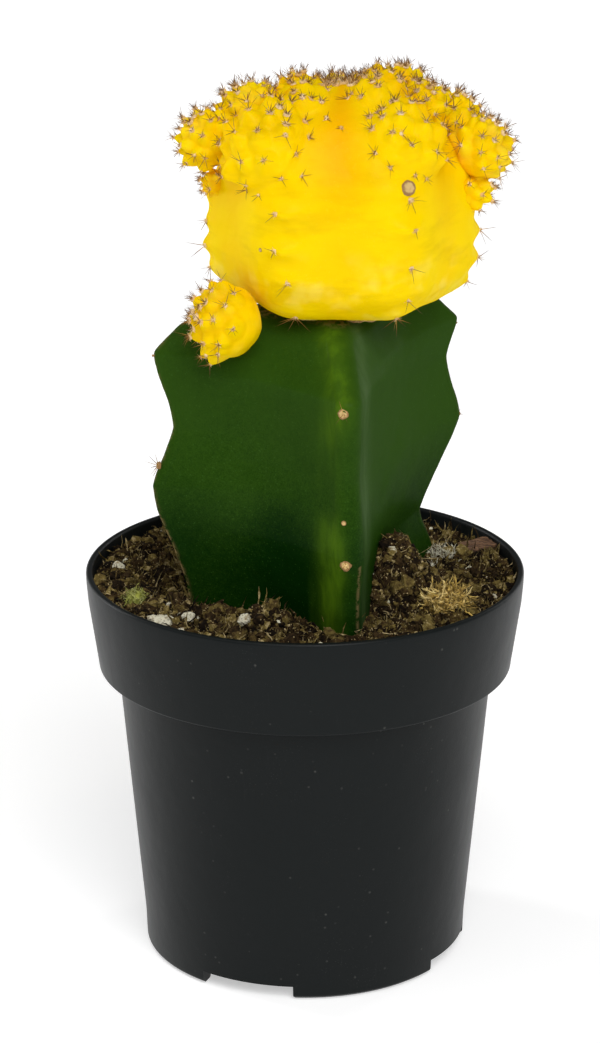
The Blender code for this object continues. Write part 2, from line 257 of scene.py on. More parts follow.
class GrowthTree(Graph):
    """A geometry node tree with named inputs, which grows a piece on a host mesh."""

    def __init__(self, name: str) -> None:
        """Start an empty tree.

        Args:
            name: the tree's name.
        """
        super().__init__(bpy.data.node_groups.new(name, "GeometryNodeTree"))
        self.tree.interface.new_socket("Geometry", in_out="OUTPUT", socket_type="NodeSocketGeometry")
        self.entry = self.tree.nodes.new("NodeGroupInput")
        self.host = self.named("Geometry", "NodeSocketGeometry")

    def named(self, name: str, kind: str) -> Socket:
        """Add a named input and return it."""
        self.tree.interface.new_socket(name, in_out="INPUT", socket_type=kind)
        return Socket(self, self.entry.outputs[name])

    def numbers(self, *names: str) -> list[Socket]:
        """Add named number inputs and return them in order."""
        return [self.named(name, "NodeSocketFloat") for name in names]

    def point_value(self, name: str, kind: str = "FLOAT") -> Socket:
        """A named attribute of the host's points."""
        return self.node("GeometryNodeInputNamedAttribute", {"data_type": kind}, {"Name": name})

    def chance(self, low: Feed, high: Feed, seed: Feed, salt: int) -> Socket:
        """A random number for each element.

        Args:
            low: least value.
            high: greatest value.
            seed: the tree's own seed.
            salt: tells this draw from the others.

        Returns:
            The number.
        """
        spots = {2: low, 3: high, 8: seed + salt}
        return self.node("FunctionNodeRandomValue", {"data_type": "FLOAT"}, spots)

    def upright(self, aim: Socket) -> Socket:
        """The rotation that turns +Z to a direction."""
        return self.node("FunctionNodeAlignRotationToVector", {"axis": "Z"}, {"Vector": aim})

    def turn(self, rotation: Socket, axis: tuple[float, float, float], angle: Feed) -> Socket:
        """Turn a rotation about one of its own axes."""
        by = self.node("FunctionNodeAxisAngleToRotation", None, {"Axis": axis, "Angle": angle})
        settings = {"rotation_space": "LOCAL"}
        return self.node("FunctionNodeRotateRotation", settings, {"Rotation": rotation, "Rotate By": by})

    def stand(self, points: Socket, template: Socket, rotation: Socket, scale: Sequence[Feed]) -> Socket:
        """Stand a template on points.

        Args:
            points: where it stands.
            template: the object that is repeated.
            rotation: its turn at each point.
            scale: its stretch along each axis at each point.

        Returns:
            The instances.
        """
        stretch = self.node("ShaderNodeCombineXYZ", None, dict(zip("XYZ", scale)))
        shape = self.node("GeometryNodeObjectInfo", None, {"Object": template}).also("Geometry")
        sockets = {"Points": points, "Instance": shape, "Rotation": rotation, "Scale": stretch}
        return self.node("GeometryNodeInstanceOnPoints", None, sockets)

    def end(self, instances: Socket, ruffle: Feed, waves: Feed, shade: Socket, material: Socket) -> None:
        """Tint the instances, make them real, ruffle them and give them their finish.

        Args:
            instances: what to make real.
            ruffle: how far noise moves the points, in metres.
            waves: how fine that noise is, per metre.
            shade: a random value that the finish reads.
            material: the finish.
        """
        store = {"data_type": "FLOAT", "domain": "INSTANCE"}
        sockets = {"Geometry": instances, "Name": "shade", "Value": shade}
        tinted = self.node("GeometryNodeStoreNamedAttribute", store, sockets)
        real = self.node("GeometryNodeRealizeInstances", None, {"Geometry": tinted})
        place = self.node("GeometryNodeInputPosition")
        sockets = {"Vector": place, "Scale": waves, "Detail": 1.0}
        wave = self.node("ShaderNodeTexNoise", None, sockets).also("Color")
        middle = {0: wave, 1: (0.5, 0.5, 0.5)}
        centred = self.node("ShaderNodeVectorMath", {"operation": "SUBTRACT"}, middle)
        offset = self.scaled(centred, ruffle)
        moved = self.node("GeometryNodeSetPosition", None, {"Geometry": real, "Offset": offset})
        done = self.node("GeometryNodeSetMaterial", None, {"Geometry": moved, "Material": material})
        self.node("NodeGroupOutput", None, {0: done})

    def scaled(self, vector: Socket, factor: Feed) -> Socket:
        """A vector times a number."""
        return self.node("ShaderNodeVectorMath", {"operation": "SCALE"}, {0: vector, "Scale": factor})

    def grow(self, name: str, mesh: bpy.types.Mesh, values: dict[str, Feed]) -> bpy.types.Object:
        """Run the tree on a mesh and keep the result as a plain mesh.

        Args:
            name: the piece's name.
            mesh: the host.
            values: the tree's inputs by name.

        Returns:
            The piece.
        """
        piece = add_object(name, mesh)
        modifier = piece.modifiers.new("growth", "NODES")
        modifier.node_group = self.tree
        for item in self.tree.interface.items_tree:
            if item.name in values:
                modifier[item.identifier] = values[item.name]
        return made_real(piece)


# ---------------------------------------------------------------- meshes


def add_object(name: str, mesh: bpy.types.Mesh) -> bpy.types.Object:
    """Put a mesh into the scene."""
    piece = bpy.data.objects.new(name, mesh)
    bpy.context.scene.collection.objects.link(piece)
    return piece


def made_real(piece: bpy.types.Object) -> bpy.types.Object:
    """Replace a piece's modifiers by the mesh that they make.

    Args:
        piece: the object whose modifiers are applied.

    Returns:
        The same object.
    """
    bpy.context.view_layer.update()
    graph = bpy.context.evaluated_depsgraph_get()
    mesh = bpy.data.meshes.new_from_object(
        piece.evaluated_get(graph), preserve_all_data_layers=True, depsgraph=graph
    )
    piece.modifiers.clear()
    piece.data = mesh
    return piece


def remove(piece: bpy.types.Object) -> None:
    """Take a helper object out of the file."""
    bpy.data.objects.remove(piece, do_unlink=True)


def mesh_of(name: str, points: np.ndarray, faces: list) -> bpy.types.Mesh:
    """A smooth mesh from points in millimetres.

    Args:
        name: the mesh's name.
        points: one row for each point.
        faces: point numbers of each face, anticlockwise from outside.

    Returns:
        The mesh, in metres.
    """
    mesh = bpy.data.meshes.new(name)
    mesh.from_pydata((np.asarray(points) * MM).tolist(), [], faces)
    mesh.polygons.foreach_set("use_smooth", [True] * len(faces))
    mesh.update()
    return mesh


def mesh_from(working: bmesh.types.BMesh, name: str) -> bpy.types.Mesh:
    """Turn a working mesh into a kept one and free it.

    Args:
        working: the bmesh, which is freed.
        name: the kept mesh's name.

    Returns:
        The kept mesh.
    """
    mesh = bpy.data.meshes.new(name)
    working.to_mesh(mesh)
    working.free()
    return mesh


def set_values(mesh: bpy.types.Mesh, name: str, values: np.ndarray, kind: str = "FLOAT") -> None:
    """Store one value or vector for each point of a mesh.

    Args:
        mesh: the mesh.
        name: the attribute's name.
        values: one value or vector for each point.
        kind: the attribute's data type.
    """
    attribute = mesh.attributes.new(name, kind, "POINT")
    key = "vector" if kind == "FLOAT_VECTOR" else "value"
    number = np.int32 if kind == "INT" else np.float32
    attribute.data.foreach_set(key, np.asarray(values, number).ravel())


def loft_faces(rings: int, steps: int, low_pole: bool, high_pole: bool) -> list:
    """Faces between stacked closed rings, each anticlockwise from above.

    Args:
        rings: number of rings, each with the same number of points.
        steps: points in a ring.
        low_pole: close the first ring to a point stored after the rings.
        high_pole: close the last ring to a point stored last.

    Returns:
        Faces that point outwards.
    """
    faces = []
    for row in range(rings - 1):
        base = row * steps
        for i in range(steps):
            j = (i + 1) % steps
            faces.append((base + i, base + j, base + j + steps, base + i + steps))
    count = rings * steps
    if low_pole:
        faces += [(count, (i + 1) % steps, i) for i in range(steps)]
    if high_pole:
        top = (rings - 1) * steps
        pole = count + int(low_pole)
        faces += [(pole, top + i, top + (i + 1) % steps) for i in range(steps)]
    return faces


def circle(radius: float, angles: np.ndarray, z: float = 0.0) -> np.ndarray:
    """Points at the given angles on a level circle about the pot's axis."""
    return np.stack([radius * np.cos(angles), radius * np.sin(angles), np.full_like(angles, z)], 1)


def directions(polar: np.ndarray, azimuth: np.ndarray) -> np.ndarray:
    """Unit vectors from angles off +Z and angles round it, in radians."""
    flat = np.sin(polar)
    return np.stack([flat * np.cos(azimuth), flat * np.sin(azimuth), np.cos(polar)], 1)


def globe_grid(rows: int, steps: int) -> tuple[np.ndarray, np.ndarray]:
    """Angles off +Z and round it for the points of a globe's level rings, from the lowest up."""
    polar = np.linspace(np.pi, 0, rows + 2)[1:-1]
    angles = np.linspace(0, 2 * np.pi, steps, endpoint=False)
    return np.repeat(polar, steps), np.tile(angles, rows)


def rough(points: np.ndarray, size: float, octaves: int = 4, seed: float = 0.0) -> np.ndarray:
    """Fractal noise at points.

    Args:
        points: one row for each point, in millimetres.
        size: width of the largest waves.
        octaves: number of finer layers.
        seed: shifts the pattern.

    Returns:
        Values of about -1 to 1.
    """
    shift = Vector((seed, 1.7 * seed, -seed))
    return np.array([noise.fractal(Vector(p) / size + shift, 1.0, 2.0, octaves) for p in points])


def eased(values: np.ndarray, low: float, high: float) -> np.ndarray:
    """Smooth step of an array from 0 at low to 1 at high."""
    share = np.clip((values - low) / (high - low), 0.0, 1.0)
    return share * share * (3 - 2 * share)


def unit(vector: Sequence[float]) -> np.ndarray:
    """A vector's direction."""
    array = np.asarray(vector, float)
    return array / np.linalg.norm(array)


def basis(aim: np.ndarray) -> np.ndarray:
    """Three unit rows of which the last is aim."""
    helper = (0, 1, 0) if abs(aim[2]) > 0.9 else (0, 0, 1)
    side = unit(np.cross(helper, aim))
    return np.array([side, np.cross(aim, side), aim])


def points_mm(mesh: bpy.types.Mesh) -> np.ndarray:
    """A mesh's points in millimetres."""
    return np.array([vertex.co for vertex in mesh.vertices]) / MM


def box_mm(node: str) -> tuple[np.ndarray, np.ndarray]:
    """Lowest and highest corner of a CAD node in millimetres."""
    low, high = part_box(node)
    return np.array(low) / MM, np.array(high) / MM


def arc(centre: tuple[float, float], radius: float, first: float, last: float, steps: int) -> list:
    """Points of an arc in a turned outline, as (radius, height), with angles in degrees."""
    angles = np.radians(np.linspace(first, last, steps))
    return [(centre[0] + radius * math.cos(a), centre[1] + radius * math.sin(a)) for a in angles]


def settle(piece: bpy.types.Object, slot: Slot, *nodes: str) -> bpy.types.Object:
    """Let a finished piece ride on the body, log its slot, and hide the CAD nodes that it stands for.

    Args:
        piece: the finished piece.
        slot: its material slot.
        nodes: the CAD nodes it stands for.

    Returns:
        The same piece.
    """
    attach(piece, BODY)
    if nodes:
        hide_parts(*nodes)
    LOG.info("%s: %d faces, %s", piece.name, len(piece.data.polygons), slot.value)
    return piece


class Skin:
    """Finds places on a built piece."""

    def __init__(self, piece: bpy.types.Object) -> None:
        """Index the piece's faces."""
        points = [v.co / MM for v in piece.data.vertices]
        self.tree = BVHTree.FromPolygons(points, [p.vertices[:] for p in piece.data.polygons])

    def hit(self, start: Sequence[float], aim: Sequence[float]) -> tuple[np.ndarray, np.ndarray]:
        """Where a ray meets the piece.

        Args:
            start: the ray's start in millimetres.
            aim: its direction.

        Returns:
            The place and the outward normal there.
        """
        place, normal, _, _ = self.tree.ray_cast(Vector(start), Vector(aim).normalized())
        return np.array(place), np.array(normal)

    def holds(self, spot: np.ndarray) -> bool:
        """Whether a place lies inside the piece."""
        nearest, normal, _, _ = self.tree.find_nearest(Vector(spot))
        return (Vector(spot) - nearest).dot(normal) < 0

    def gap(self, points: np.ndarray) -> np.ndarray:
        """Distance from each point to the piece, in millimetres."""
        return np.array([self.tree.find_nearest(Vector(p))[3] for p in points])


# ---------------------------------------------------------------- finishes


class Finish:
    """A procedural finish that makes its material once."""

    def material(self) -> bpy.types.Material:
        """The finish's material.

        Returns:
            The material, which every piece with this finish shares.
        """
        name = type(self).__name__
        made = bpy.data.materials.get(name)
        if made is None:
            made = bpy.data.materials.new(name)
            made.use_nodes = True
            made.node_tree.nodes.clear()
            self.paint(SurfaceGraph(made.node_tree))
        return made

    def paint(self, graph: SurfaceGraph) -> None:
        """Write the material's nodes."""
        raise NotImplementedError

    def cover(self, piece: bpy.types.Object) -> bpy.types.Object:
        """Give a piece this finish alone."""
        piece.data.materials.clear()
        piece.data.materials.append(self.material())
        return piece


@dataclass(frozen=True)
class BlackPlastic(Finish):
    """Satin moulded plastic with dust, faint scuffs and a fine grain."""

    body: tuple = (0.0046, 0.0064, 0.0065)
    worn: tuple = (0.015, 0.017, 0.017)
    dust: tuple = (0.10, 0.10, 0.09)

    def paint(self, graph: SurfaceGraph) -> None:
        """Write the material's nodes.

        Args:
            graph: the material's tree.
        """
        place = graph.millimetres()
        cloud = graph.noise(place, 0.09, 4.0)
        scuffs = graph.noise(graph.millimetres((1.2, 1.2, 0.12)), 1.0, 5.0, 0.7).between(0.60, 0.78)
        specks = graph.dots(place, 0.62, 0.16) * graph.noise(place, 0.3).between(0.5, 0.72)
        grit = graph.dots(place, 2.4, 0.17) * graph.noise(place, 0.11, 2.0).between(0.45, 0.7)
        colour = graph.mix(scuffs * 0.35 + cloud * 0.12, self.body, self.worn)
        colour = graph.mix(specks * 0.55 + grit * 0.25, colour, self.dust)
        grain = graph.bump(graph.noise(place, 3.2, 2.0), 0.012)
        graph.surface(
            Base_Color=colour,
            Roughness=0.36 + cloud * 0.10 + scuffs * 0.08 + specks * 0.2,
            Specular_IOR_Level=0.13,
            Normal=graph.bump(graph.noise(place, 0.16, 2.0), 0.10, grain),
        )


@dataclass(frozen=True)
class PottingSoil(Finish):
    """Peat and bark fines; each crumb has its own shade, and painted shade darkens random hollows and the
    bare bed between the crumbs.
    """

    dark: tuple = (0.008, 0.005, 0.003)
    brown: tuple = (0.060, 0.036, 0.014)
    olive: tuple = (0.210, 0.155, 0.045)
    tan: tuple = (0.540, 0.420, 0.210)

    def paint(self, graph: SurfaceGraph) -> None:
        """Write the material's nodes.

        Args:
            graph: the material's tree.
        """
        place = graph.millimetres()
        shade = graph.attribute("shade")
        mottle = graph.noise(place, 1.5, 4.0, 0.65)
        stops = ((0.0, self.dark), (0.42, self.brown), (0.80, self.olive), (1.0, self.tan))
        colour = graph.ramp(shade * 0.85 + (mottle - 0.5) * 1.3 + 0.02, stops)
        specks = graph.dots(place, 1.5, 0.20)
        colour = graph.mix(specks * 0.8, colour, self.tan)
        # painted shade: dark patches at random places that stand in for shaded hollows
        holes = graph.noise(place, 0.5, 3.0, 0.6).between(0.52, 0.68)
        colour = graph.mix(holes * 0.6, colour, self.dark)
        height = graph.noise(place, 2.6, 5.0, 0.7)
        graph.surface(
            Base_Color=colour,
            Roughness=0.86 + mottle * 0.12,
            Specular_IOR_Level=0.08,
            Normal=graph.bump(height, 0.35),
        )


@dataclass(frozen=True)
class GreenSkin(Finish):
    """Deep green waxy skin with painted light and shade, paler on the front rib partly as a painted
    highlight, with a painted sheen, fine flecks and corky edges.
    """

    # deep and leaf are the two ends of the painted light and shade below, which random mottling also moves
    # between
    deep: tuple = (0.0018, 0.0170, 0.0008)
    leaf: tuple = (0.0230, 0.0640, 0.0045)
    # pale green of the front rib's edge, partly its own tone and partly a painted highlight
    ridge: tuple = (0.0850, 0.1750, 0.0060)
    # whitish green of a painted sheen that stands in for a reflection
    bloom: tuple = (0.0700, 0.1250, 0.0420)
    cork: tuple = (0.3000, 0.2000, 0.0900)
    fleck: tuple = (0.0600, 0.1600, 0.0300)

    def paint(self, graph: SurfaceGraph) -> None:
        """Write the material's nodes.

        Args:
            graph: the material's tree.
        """
        place = graph.millimetres()
        cloud = graph.noise(place, 0.07, 4.0, 0.5)
        fine = graph.noise(place, 1.4, 3.0, 0.6)
        grain = graph.noise(place, 4.5, 2.0, 0.8)
        # painted light and shade: the stem's light value darkens the skin towards the soil and left of the
        # front rib, and lightens the face right of it
        light = graph.attribute("light") * 0.82 + (cloud - 0.5) * 0.8
        light += (fine - 0.5) * 0.35 + (grain - 0.5) * 0.9
        colour = graph.mix(light.between(0.0, 1.0), self.deep, self.leaf)
        flecks = graph.dots(place, 2.2, 0.26) * fine.between(0.4, 0.62)
        colour = graph.mix(flecks * 0.26, colour, self.fleck)
        streaks = graph.noise(graph.millimetres((1.0, 1.0, 0.25)), 0.45, 4.0).between(0.35, 0.7)
        # front rib's paler edge: partly its own tone, partly a painted highlight
        pale = graph.attribute("ridge") * (0.35 + streaks * 0.65)
        colour = graph.mix(pale * 0.75, colour, self.ridge)
        # painted sheen: a strip right of the front rib that stands in for a reflection
        bloom = graph.attribute("bloom") * (0.35 + streaks * 0.4)
        colour = graph.mix(bloom, colour, self.bloom)
        scurf = graph.attribute("cork") * graph.noise(place, 1.1, 4.0, 0.7).between(0.42, 0.56)
        colour = graph.mix(scurf, colour, self.cork)
        skin = graph.bump(graph.noise(place, 2.2, 3.0), 0.03)
        graph.surface(
            Base_Color=colour,
            Roughness=0.46 + fine * 0.10 + scurf * 0.35,
            Specular_IOR_Level=0.0,
            Coat_Weight=0.05,
            Coat_Roughness=0.34,
            Subsurface_Weight=0.06,
            Subsurface_Radius=(0.5, 1.0, 0.2),
            Subsurface_Scale=0.0012,
            Normal=graph.bump(cloud, 0.35, skin),
        )


@dataclass(frozen=True)
class YellowFlesh(Finish):
    """Waxy lemon flesh that turns orange in its furrows and at the crown, partly its own tone and partly
    painted shade.
    """

    lemon: tuple = (0.930, 0.655, 0.0004)
    gold: tuple = (0.880, 0.540, 0.0003)
    orange: tuple = (0.890, 0.400, 0.0003)
    ochre: tuple = (0.640, 0.400, 0.0010)
    pale: tuple = (0.980, 0.820, 0.170)

    def paint(self, graph: SurfaceGraph) -> None:
        """Write the material's nodes.

        Args:
            graph: the material's tree.
        """
        place = graph.millimetres()
        cloud = graph.noise(place, 0.10, 3.0, 0.45)
        fine = graph.noise(place, 1.3, 3.0, 0.6)
        colour = graph.mix(cloud.between(0.35, 0.8) * 0.5, self.lemon, self.gold)
        # painted shade: darker ochre in soft vertical bands at random places
        bands = graph.noise(graph.millimetres((0.45, 0.45, 1.6)), 0.16, 4.0, 0.6).between(0.46, 0.72)
        colour = graph.mix(bands * 0.45, colour, self.ochre)
        # the depth value turns the flesh orange in furrows, towards the crown and between and under the
        # offsets' tubercles: partly its own tone, partly painted shade
        colour = graph.mix(graph.attribute("depth") * 0.85, colour, self.orange)
        blots = graph.noise(place, 0.22, 2.0).between(0.48, 0.75) * graph.attribute("pale")
        colour = graph.mix(blots * 0.30, colour, self.pale)
        pores = graph.dots(place, 1.9, 0.2)
        colour = graph.mix(pores * 0.10, colour, self.pale)
        skin = graph.bump(fine * 0.7 + pores * 0.3, 0.035)
        graph.surface(
            Base_Color=colour,
            Roughness=0.46 + fine * 0.12,
            Specular_IOR_Level=0.0,
            Coat_Weight=0.06,
            Coat_Roughness=0.35,
            Subsurface_Weight=0.22,
            Subsurface_Radius=(1.0, 0.62, 0.05),
            Subsurface_Scale=0.0016,
            Normal=graph.bump(cloud, 0.25, skin),
        )


@dataclass(frozen=True)
class SpineFinish(Finish):
    """Horn-like spines, tan at the foot and dark brown at the tip."""

    foot: tuple = (0.520, 0.290, 0.060)
    middle: tuple = (0.200, 0.088, 0.018)
    tip: tuple = (0.060, 0.020, 0.006)

    def paint(self, graph: SurfaceGraph) -> None:
        """Write the material's nodes.

        Args:
            graph: the material's tree.
        """
        along = graph.attribute("along") + (graph.attribute("shade") - 0.5) * 0.5
        streak = graph.noise(graph.millimetres(), 4.0, 2.0)
        stops = ((0.0, self.foot), (0.45, self.middle), (0.95, self.tip))
        colour = graph.ramp(along + (streak - 0.5) * 0.3, stops)
        graph.surface(
            Base_Color=colour,
            Roughness=0.45 + streak * 0.15,
            Specular_IOR_Level=0.2,
            Normal=graph.bump(streak, 0.01),
        )


@dataclass(frozen=True)
class WoolFelt(Finish):
    """Felt and hairs of the areoles, beige with a pinkish cast."""

    light: tuple = (0.960, 0.740, 0.430)
    dark: tuple = (0.800, 0.490, 0.170)

    def paint(self, graph: SurfaceGraph) -> None:
        """Write the material's nodes.

        Args:
            graph: the material's tree.
        """
        place = graph.millimetres()
        fibre = graph.noise(place, 5.0, 4.0, 0.7)
        shade = graph.attribute("shade") * 0.55 + fibre * 0.5
        colour = graph.mix(shade.between(0.25, 0.85), self.dark, self.light)
        graph.surface(
            Base_Color=colour,
            Roughness=0.9 + fibre * 0.1,
            Sheen_Weight=0.3,
            Normal=graph.bump(fibre, 0.12),
        )


@dataclass(frozen=True)
class Cork(Finish):
    """Woody scar tissue, pale in the middle and dark at its rim."""

    heart: tuple = (0.620, 0.430, 0.170)
    rim: tuple = (0.300, 0.160, 0.055)

    def paint(self, graph: SurfaceGraph) -> None:
        """Write the material's nodes.

        Args:
            graph: the material's tree.
        """
        place = graph.millimetres()
        grain = graph.noise(place, 3.2, 4.0, 0.65)
        share = graph.attribute("rim") * 0.65 + (grain - 0.5) * 1.5
        colour = graph.mix(share.between(0.05, 0.6), self.heart, self.rim)
        graph.surface(Base_Color=colour, Roughness=0.75 + grain * 0.2, Normal=graph.bump(grain, 0.12))


@dataclass(frozen=True)
class Perlite(Finish):
    """Expanded white mineral with pits and a dusting of soil."""

    white: tuple = (0.720, 0.680, 0.520)
    soiled: tuple = (0.270, 0.200, 0.100)
    green: tuple = (0.450, 0.460, 0.200)

    def paint(self, graph: SurfaceGraph) -> None:
        """Write the material's nodes.

        Args:
            graph: the material's tree.
        """
        place = graph.millimetres()
        pits = graph.dots(place, 2.3, 0.36)
        dirt = graph.noise(place, 0.9, 4.0, 0.7)
        colour = graph.mix(dirt.between(0.49, 0.66), self.white, self.soiled)
        colour = graph.mix(graph.noise(place, 0.35).between(0.55, 0.75) * 0.5, colour, self.green)
        colour = graph.mix(pits * 0.45, colour, self.soiled)
        height = graph.noise(place, 3.5, 4.0) - pits * 0.8
        graph.surface(Base_Color=colour, Roughness=0.85 + dirt * 0.1, Normal=graph.bump(height, 0.22))


@dataclass(frozen=True)
class Moss(Finish):
    """Dry moss fibres from olive to straw gold."""

    olive: tuple = (0.180, 0.115, 0.025)
    gold: tuple = (0.620, 0.420, 0.095)
    straw: tuple = (0.920, 0.720, 0.300)

    def paint(self, graph: SurfaceGraph) -> None:
        """Write the material's nodes.

        Args:
            graph: the material's tree.
        """
        place = graph.millimetres()
        grain = graph.noise(place, 1.8, 4.0, 0.65)
        stops = ((0.1, self.olive), (0.55, self.gold), (0.95, self.straw))
        colour = graph.ramp(graph.attribute("shade") * 0.75 + (grain - 0.5) * 0.7 + 0.1, stops)
        graph.surface(Base_Color=colour, Roughness=0.85 + grain * 0.12, Normal=graph.bump(grain, 0.12))


@dataclass(frozen=True)
class FreshMoss(Moss):
    """Moss that is still green."""

    olive: tuple = (0.150, 0.170, 0.025)
    gold: tuple = (0.400, 0.420, 0.075)
    straw: tuple = (0.720, 0.720, 0.300)


@dataclass(frozen=True)
class Fluff(Moss):
    """Whitish threads of mould and root hair."""

    olive: tuple = (0.420, 0.390, 0.270)
    gold: tuple = (0.700, 0.660, 0.480)
    straw: tuple = (0.940, 0.900, 0.740)


@dataclass(frozen=True)
class Bark(Finish):
    """Flaky bark with long dark grain."""

    dark: tuple = (0.050, 0.022, 0.010)
    light: tuple = (0.250, 0.130, 0.065)

    def paint(self, graph: SurfaceGraph) -> None:
        """Write the material's nodes.

        Args:
            graph: the material's tree.
        """
        along = graph.millimetres((0.35, 1.3, 1.3))
        grain = graph.noise(along, 1.6, 5.0, 0.7)
        colour = graph.mix(grain.between(0.35, 0.68), self.dark, self.light)
        graph.surface(Base_Color=colour, Roughness=0.8 + grain * 0.15, Normal=graph.bump(grain, 0.3))


@dataclass(frozen=True)
class StudioFloor(Finish):
    """Seamless pale paper."""

    paper: tuple = (0.78, 0.78, 0.78)
    fibre: tuple = (0.75, 0.75, 0.75)
    glow_near: tuple = (0.48, 0.48, 0.48)
    glow_far: tuple = (1.0, 1.0, 1.0)
    near_mm: float = 250.0
    far_mm: float = 1100.0

    def paint(self, graph: SurfaceGraph) -> None:
        """Write the material's nodes.

        Args:
            graph: the material's tree.
        """
        place = graph.millimetres()
        tooth = graph.noise(place, 0.6, 3.0)
        colour = graph.mix(tooth, self.paper, self.fibre)
        away = graph.node("ShaderNodeVectorMath", {"operation": "LENGTH"}, {0: place})
        distant = away.between(self.near_mm, self.far_mm)
        graph.surface(
            Base_Color=colour,
            Roughness=0.9 + tooth * 0.05,
            Specular_IOR_Level=0.1,
            Emission_Color=graph.mix(distant, self.glow_near, self.glow_far),
            Emission_Strength=1.0,
        )


# ---------------------------------------------------------------- what is repeated


class Template(Enum):
    """Small shapes that stand many times on a surface."""

    SPINE = "spine"
    HAIR = "hair"
    FELT = "felt"
    CRUMB = "crumb"
    GRIT = "grit"
    FIBRE = "fibre"
    STRAND = "strand"


@dataclass(frozen=True)
class TaperedThread:
    """A thin curved thread of unit height on +Z with its tip leaning to +X."""

    template: Template
    radius: float
    sides: int
    levels: int
    bend: float
    taper: float = 1.0

    def build(self) -> bpy.types.Object:
        """The thread as an object, with its share of length stored at each point.

        Returns:
            The thread.
        """
        points = []
        for level in range(self.levels):
            share = level / self.levels
            reach = self.radius * (1 - self.taper * share)
            for side in range(self.sides):
                angle = 2 * math.pi * side / self.sides
                lean = self.bend * share ** 2
                points.append((lean + reach * math.cos(angle), reach * math.sin(angle), share))
        points += [(0, 0, 0), (self.bend, 0, 1)]
        faces = loft_faces(self.levels, self.sides, True, True)
        mesh = mesh_of(self.template.value, np.array(points) / MM, faces)
        set_values(mesh, "along", np.array(points)[:, 2])
        return add_object(self.template.value, mesh)


@dataclass(frozen=True)
class Lump:
    """A small blunt lump about one unit wide, cut from a gridded cube or a coarse ball."""

    template: Template
    blunt: float = 0.75
    flat: float = 1.0

    def build(self) -> bpy.types.Object:
        """The lump as an object.

        Returns:
            The lump.
        """
        working = bmesh.new()
        if self.template is Template.GRIT:
            bmesh.ops.create_icosphere(working, subdivisions=1, radius=0.5)
        else:
            bmesh.ops.create_cube(working, size=0.9)
            bmesh.ops.subdivide_edges(working, edges=working.edges[:], cuts=1, use_grid_fill=True)
        for vertex in working.verts:
            ball = vertex.co.normalized() * 0.5
            vertex.co = vertex.co.lerp(ball, self.blunt)
            vertex.co.z *= self.flat
        mesh = mesh_from(working, self.template.value)
        smooth = self.template is Template.FELT
        mesh.polygons.foreach_set("use_smooth", [smooth] * len(mesh.polygons))
        return add_object(self.template.value, mesh)


class SproutTree(GrowthTree):
    """Stands a template on each host point as often as the point says, spread about its aim."""

    def __init__(self) -> None:
        """Write the tree."""
        super().__init__("sprouts")
        template = self.named("Template", "NodeSocketObject")
        count_name = self.named("Count Name", "NodeSocketString")
        numbers = self.numbers("Length", "Width", "Spread", "Ruffle", "Waves")
        length, width, spread, ruffle, waves = numbers
        seed = self.named("Seed", "NodeSocketInt")
        material = self.named("Material", "NodeSocketMaterial")
        points = self.node("GeometryNodeMeshToPoints", None, {"Mesh": self.host})
        count = self.point_value(count_name, "INT")
        sockets = {"Geometry": points, "Amount": count}
        copies = self.node("GeometryNodeDuplicateElements", {"domain": "POINT"}, sockets)
        number = copies.also("Duplicate Index")
        upright = self.upright(self.point_value("aim", "FLOAT_VECTOR"))
        azimuth = number * GOLDEN_ANGLE + self.chance(0.0, 1.2, seed, 1) + self.point_value("turn")
        fan = self.point_value("fan") * spread * self.chance(0.45, 1.1, seed, 2)
        spun = self.turn(upright, (0, 0, 1), azimuth)
        tilted = self.turn(spun, (0, 1, 0), fan)
        twisted = self.turn(tilted, (0, 0, 1), self.chance(-1.4, 1.4, seed, 3))
        tall = self.point_value("reach") * length * self.chance(0.55, 1.15, seed, 4)
        wide = self.point_value("stout") * width * self.chance(0.8, 1.2, seed, 5)
        instances = self.stand(copies, template, twisted, (wide, wide, tall))
        self.end(instances, ruffle, waves, self.chance(0.0, 1.0, seed, 6), material)


class ScatterTree(GrowthTree):
    """Scatters a template over the parts of a host that its cover attribute allows."""

    def __init__(self) -> None:
        """Write the tree."""
        super().__init__("scatter")
        template = self.named("Template", "NodeSocketObject")
        apart, density = self.numbers("Apart", "Density")
        smallest, largest, slender = self.numbers("Smallest", "Largest", "Slender")
        tumble, lean, lift = self.numbers("Tumble", "Lean", "Lift")
        ruffle, waves = self.numbers("Ruffle", "Waves")
        low_shade, high_shade = self.numbers("Low Shade", "High Shade")
        seed = self.named("Seed", "NodeSocketInt")
        material = self.named("Material", "NodeSocketMaterial")
        sockets = {
            "Mesh": self.host,
            "Distance Min": apart,
            "Density Max": density,
            "Density Factor": self.point_value("cover"),
            "Seed": seed,
        }
        settings = {"distribute_method": "POISSON"}
        points = self.node("GeometryNodeDistributePointsOnFaces", settings, sockets)
        normal = points.also("Normal")
        spun = self.turn(self.upright(normal), (0, 0, 1), self.chance(0.0, 6.283, seed, 1))
        tilted = self.turn(spun, (0, 1, 0), tumble * self.chance(-1.0, 1.0, seed, 2) + lean)
        rolled = self.turn(tilted, (0, 0, 1), self.chance(0.0, 6.283, seed, 3))
        size = self.chance(0.0, 1.0, seed, 4) ** 2.0 * (largest - smallest) + smallest
        width = size * slender
        flat = self.chance(0.45, 1.0, seed, 5)
        sockets = {
            "Instances": self.stand(points, template, rolled, (width, width * flat, size)),
            "Translation": self.scaled(normal, lift),
            "Local Space": False,
        }
        lifted = self.node("GeometryNodeTranslateInstances", None, sockets)
        self.end(lifted, ruffle, waves, self.chance(low_shade, high_shade, seed, 6), material)


@dataclass(frozen=True)
class Areole:
    """A woolly cushion with its spines, on a tubercle or a rib. Sizes in millimetres."""

    spot: np.ndarray
    aim: np.ndarray
    spines: int
    reach: float
    fan: float
    wool: float
    hairs: int


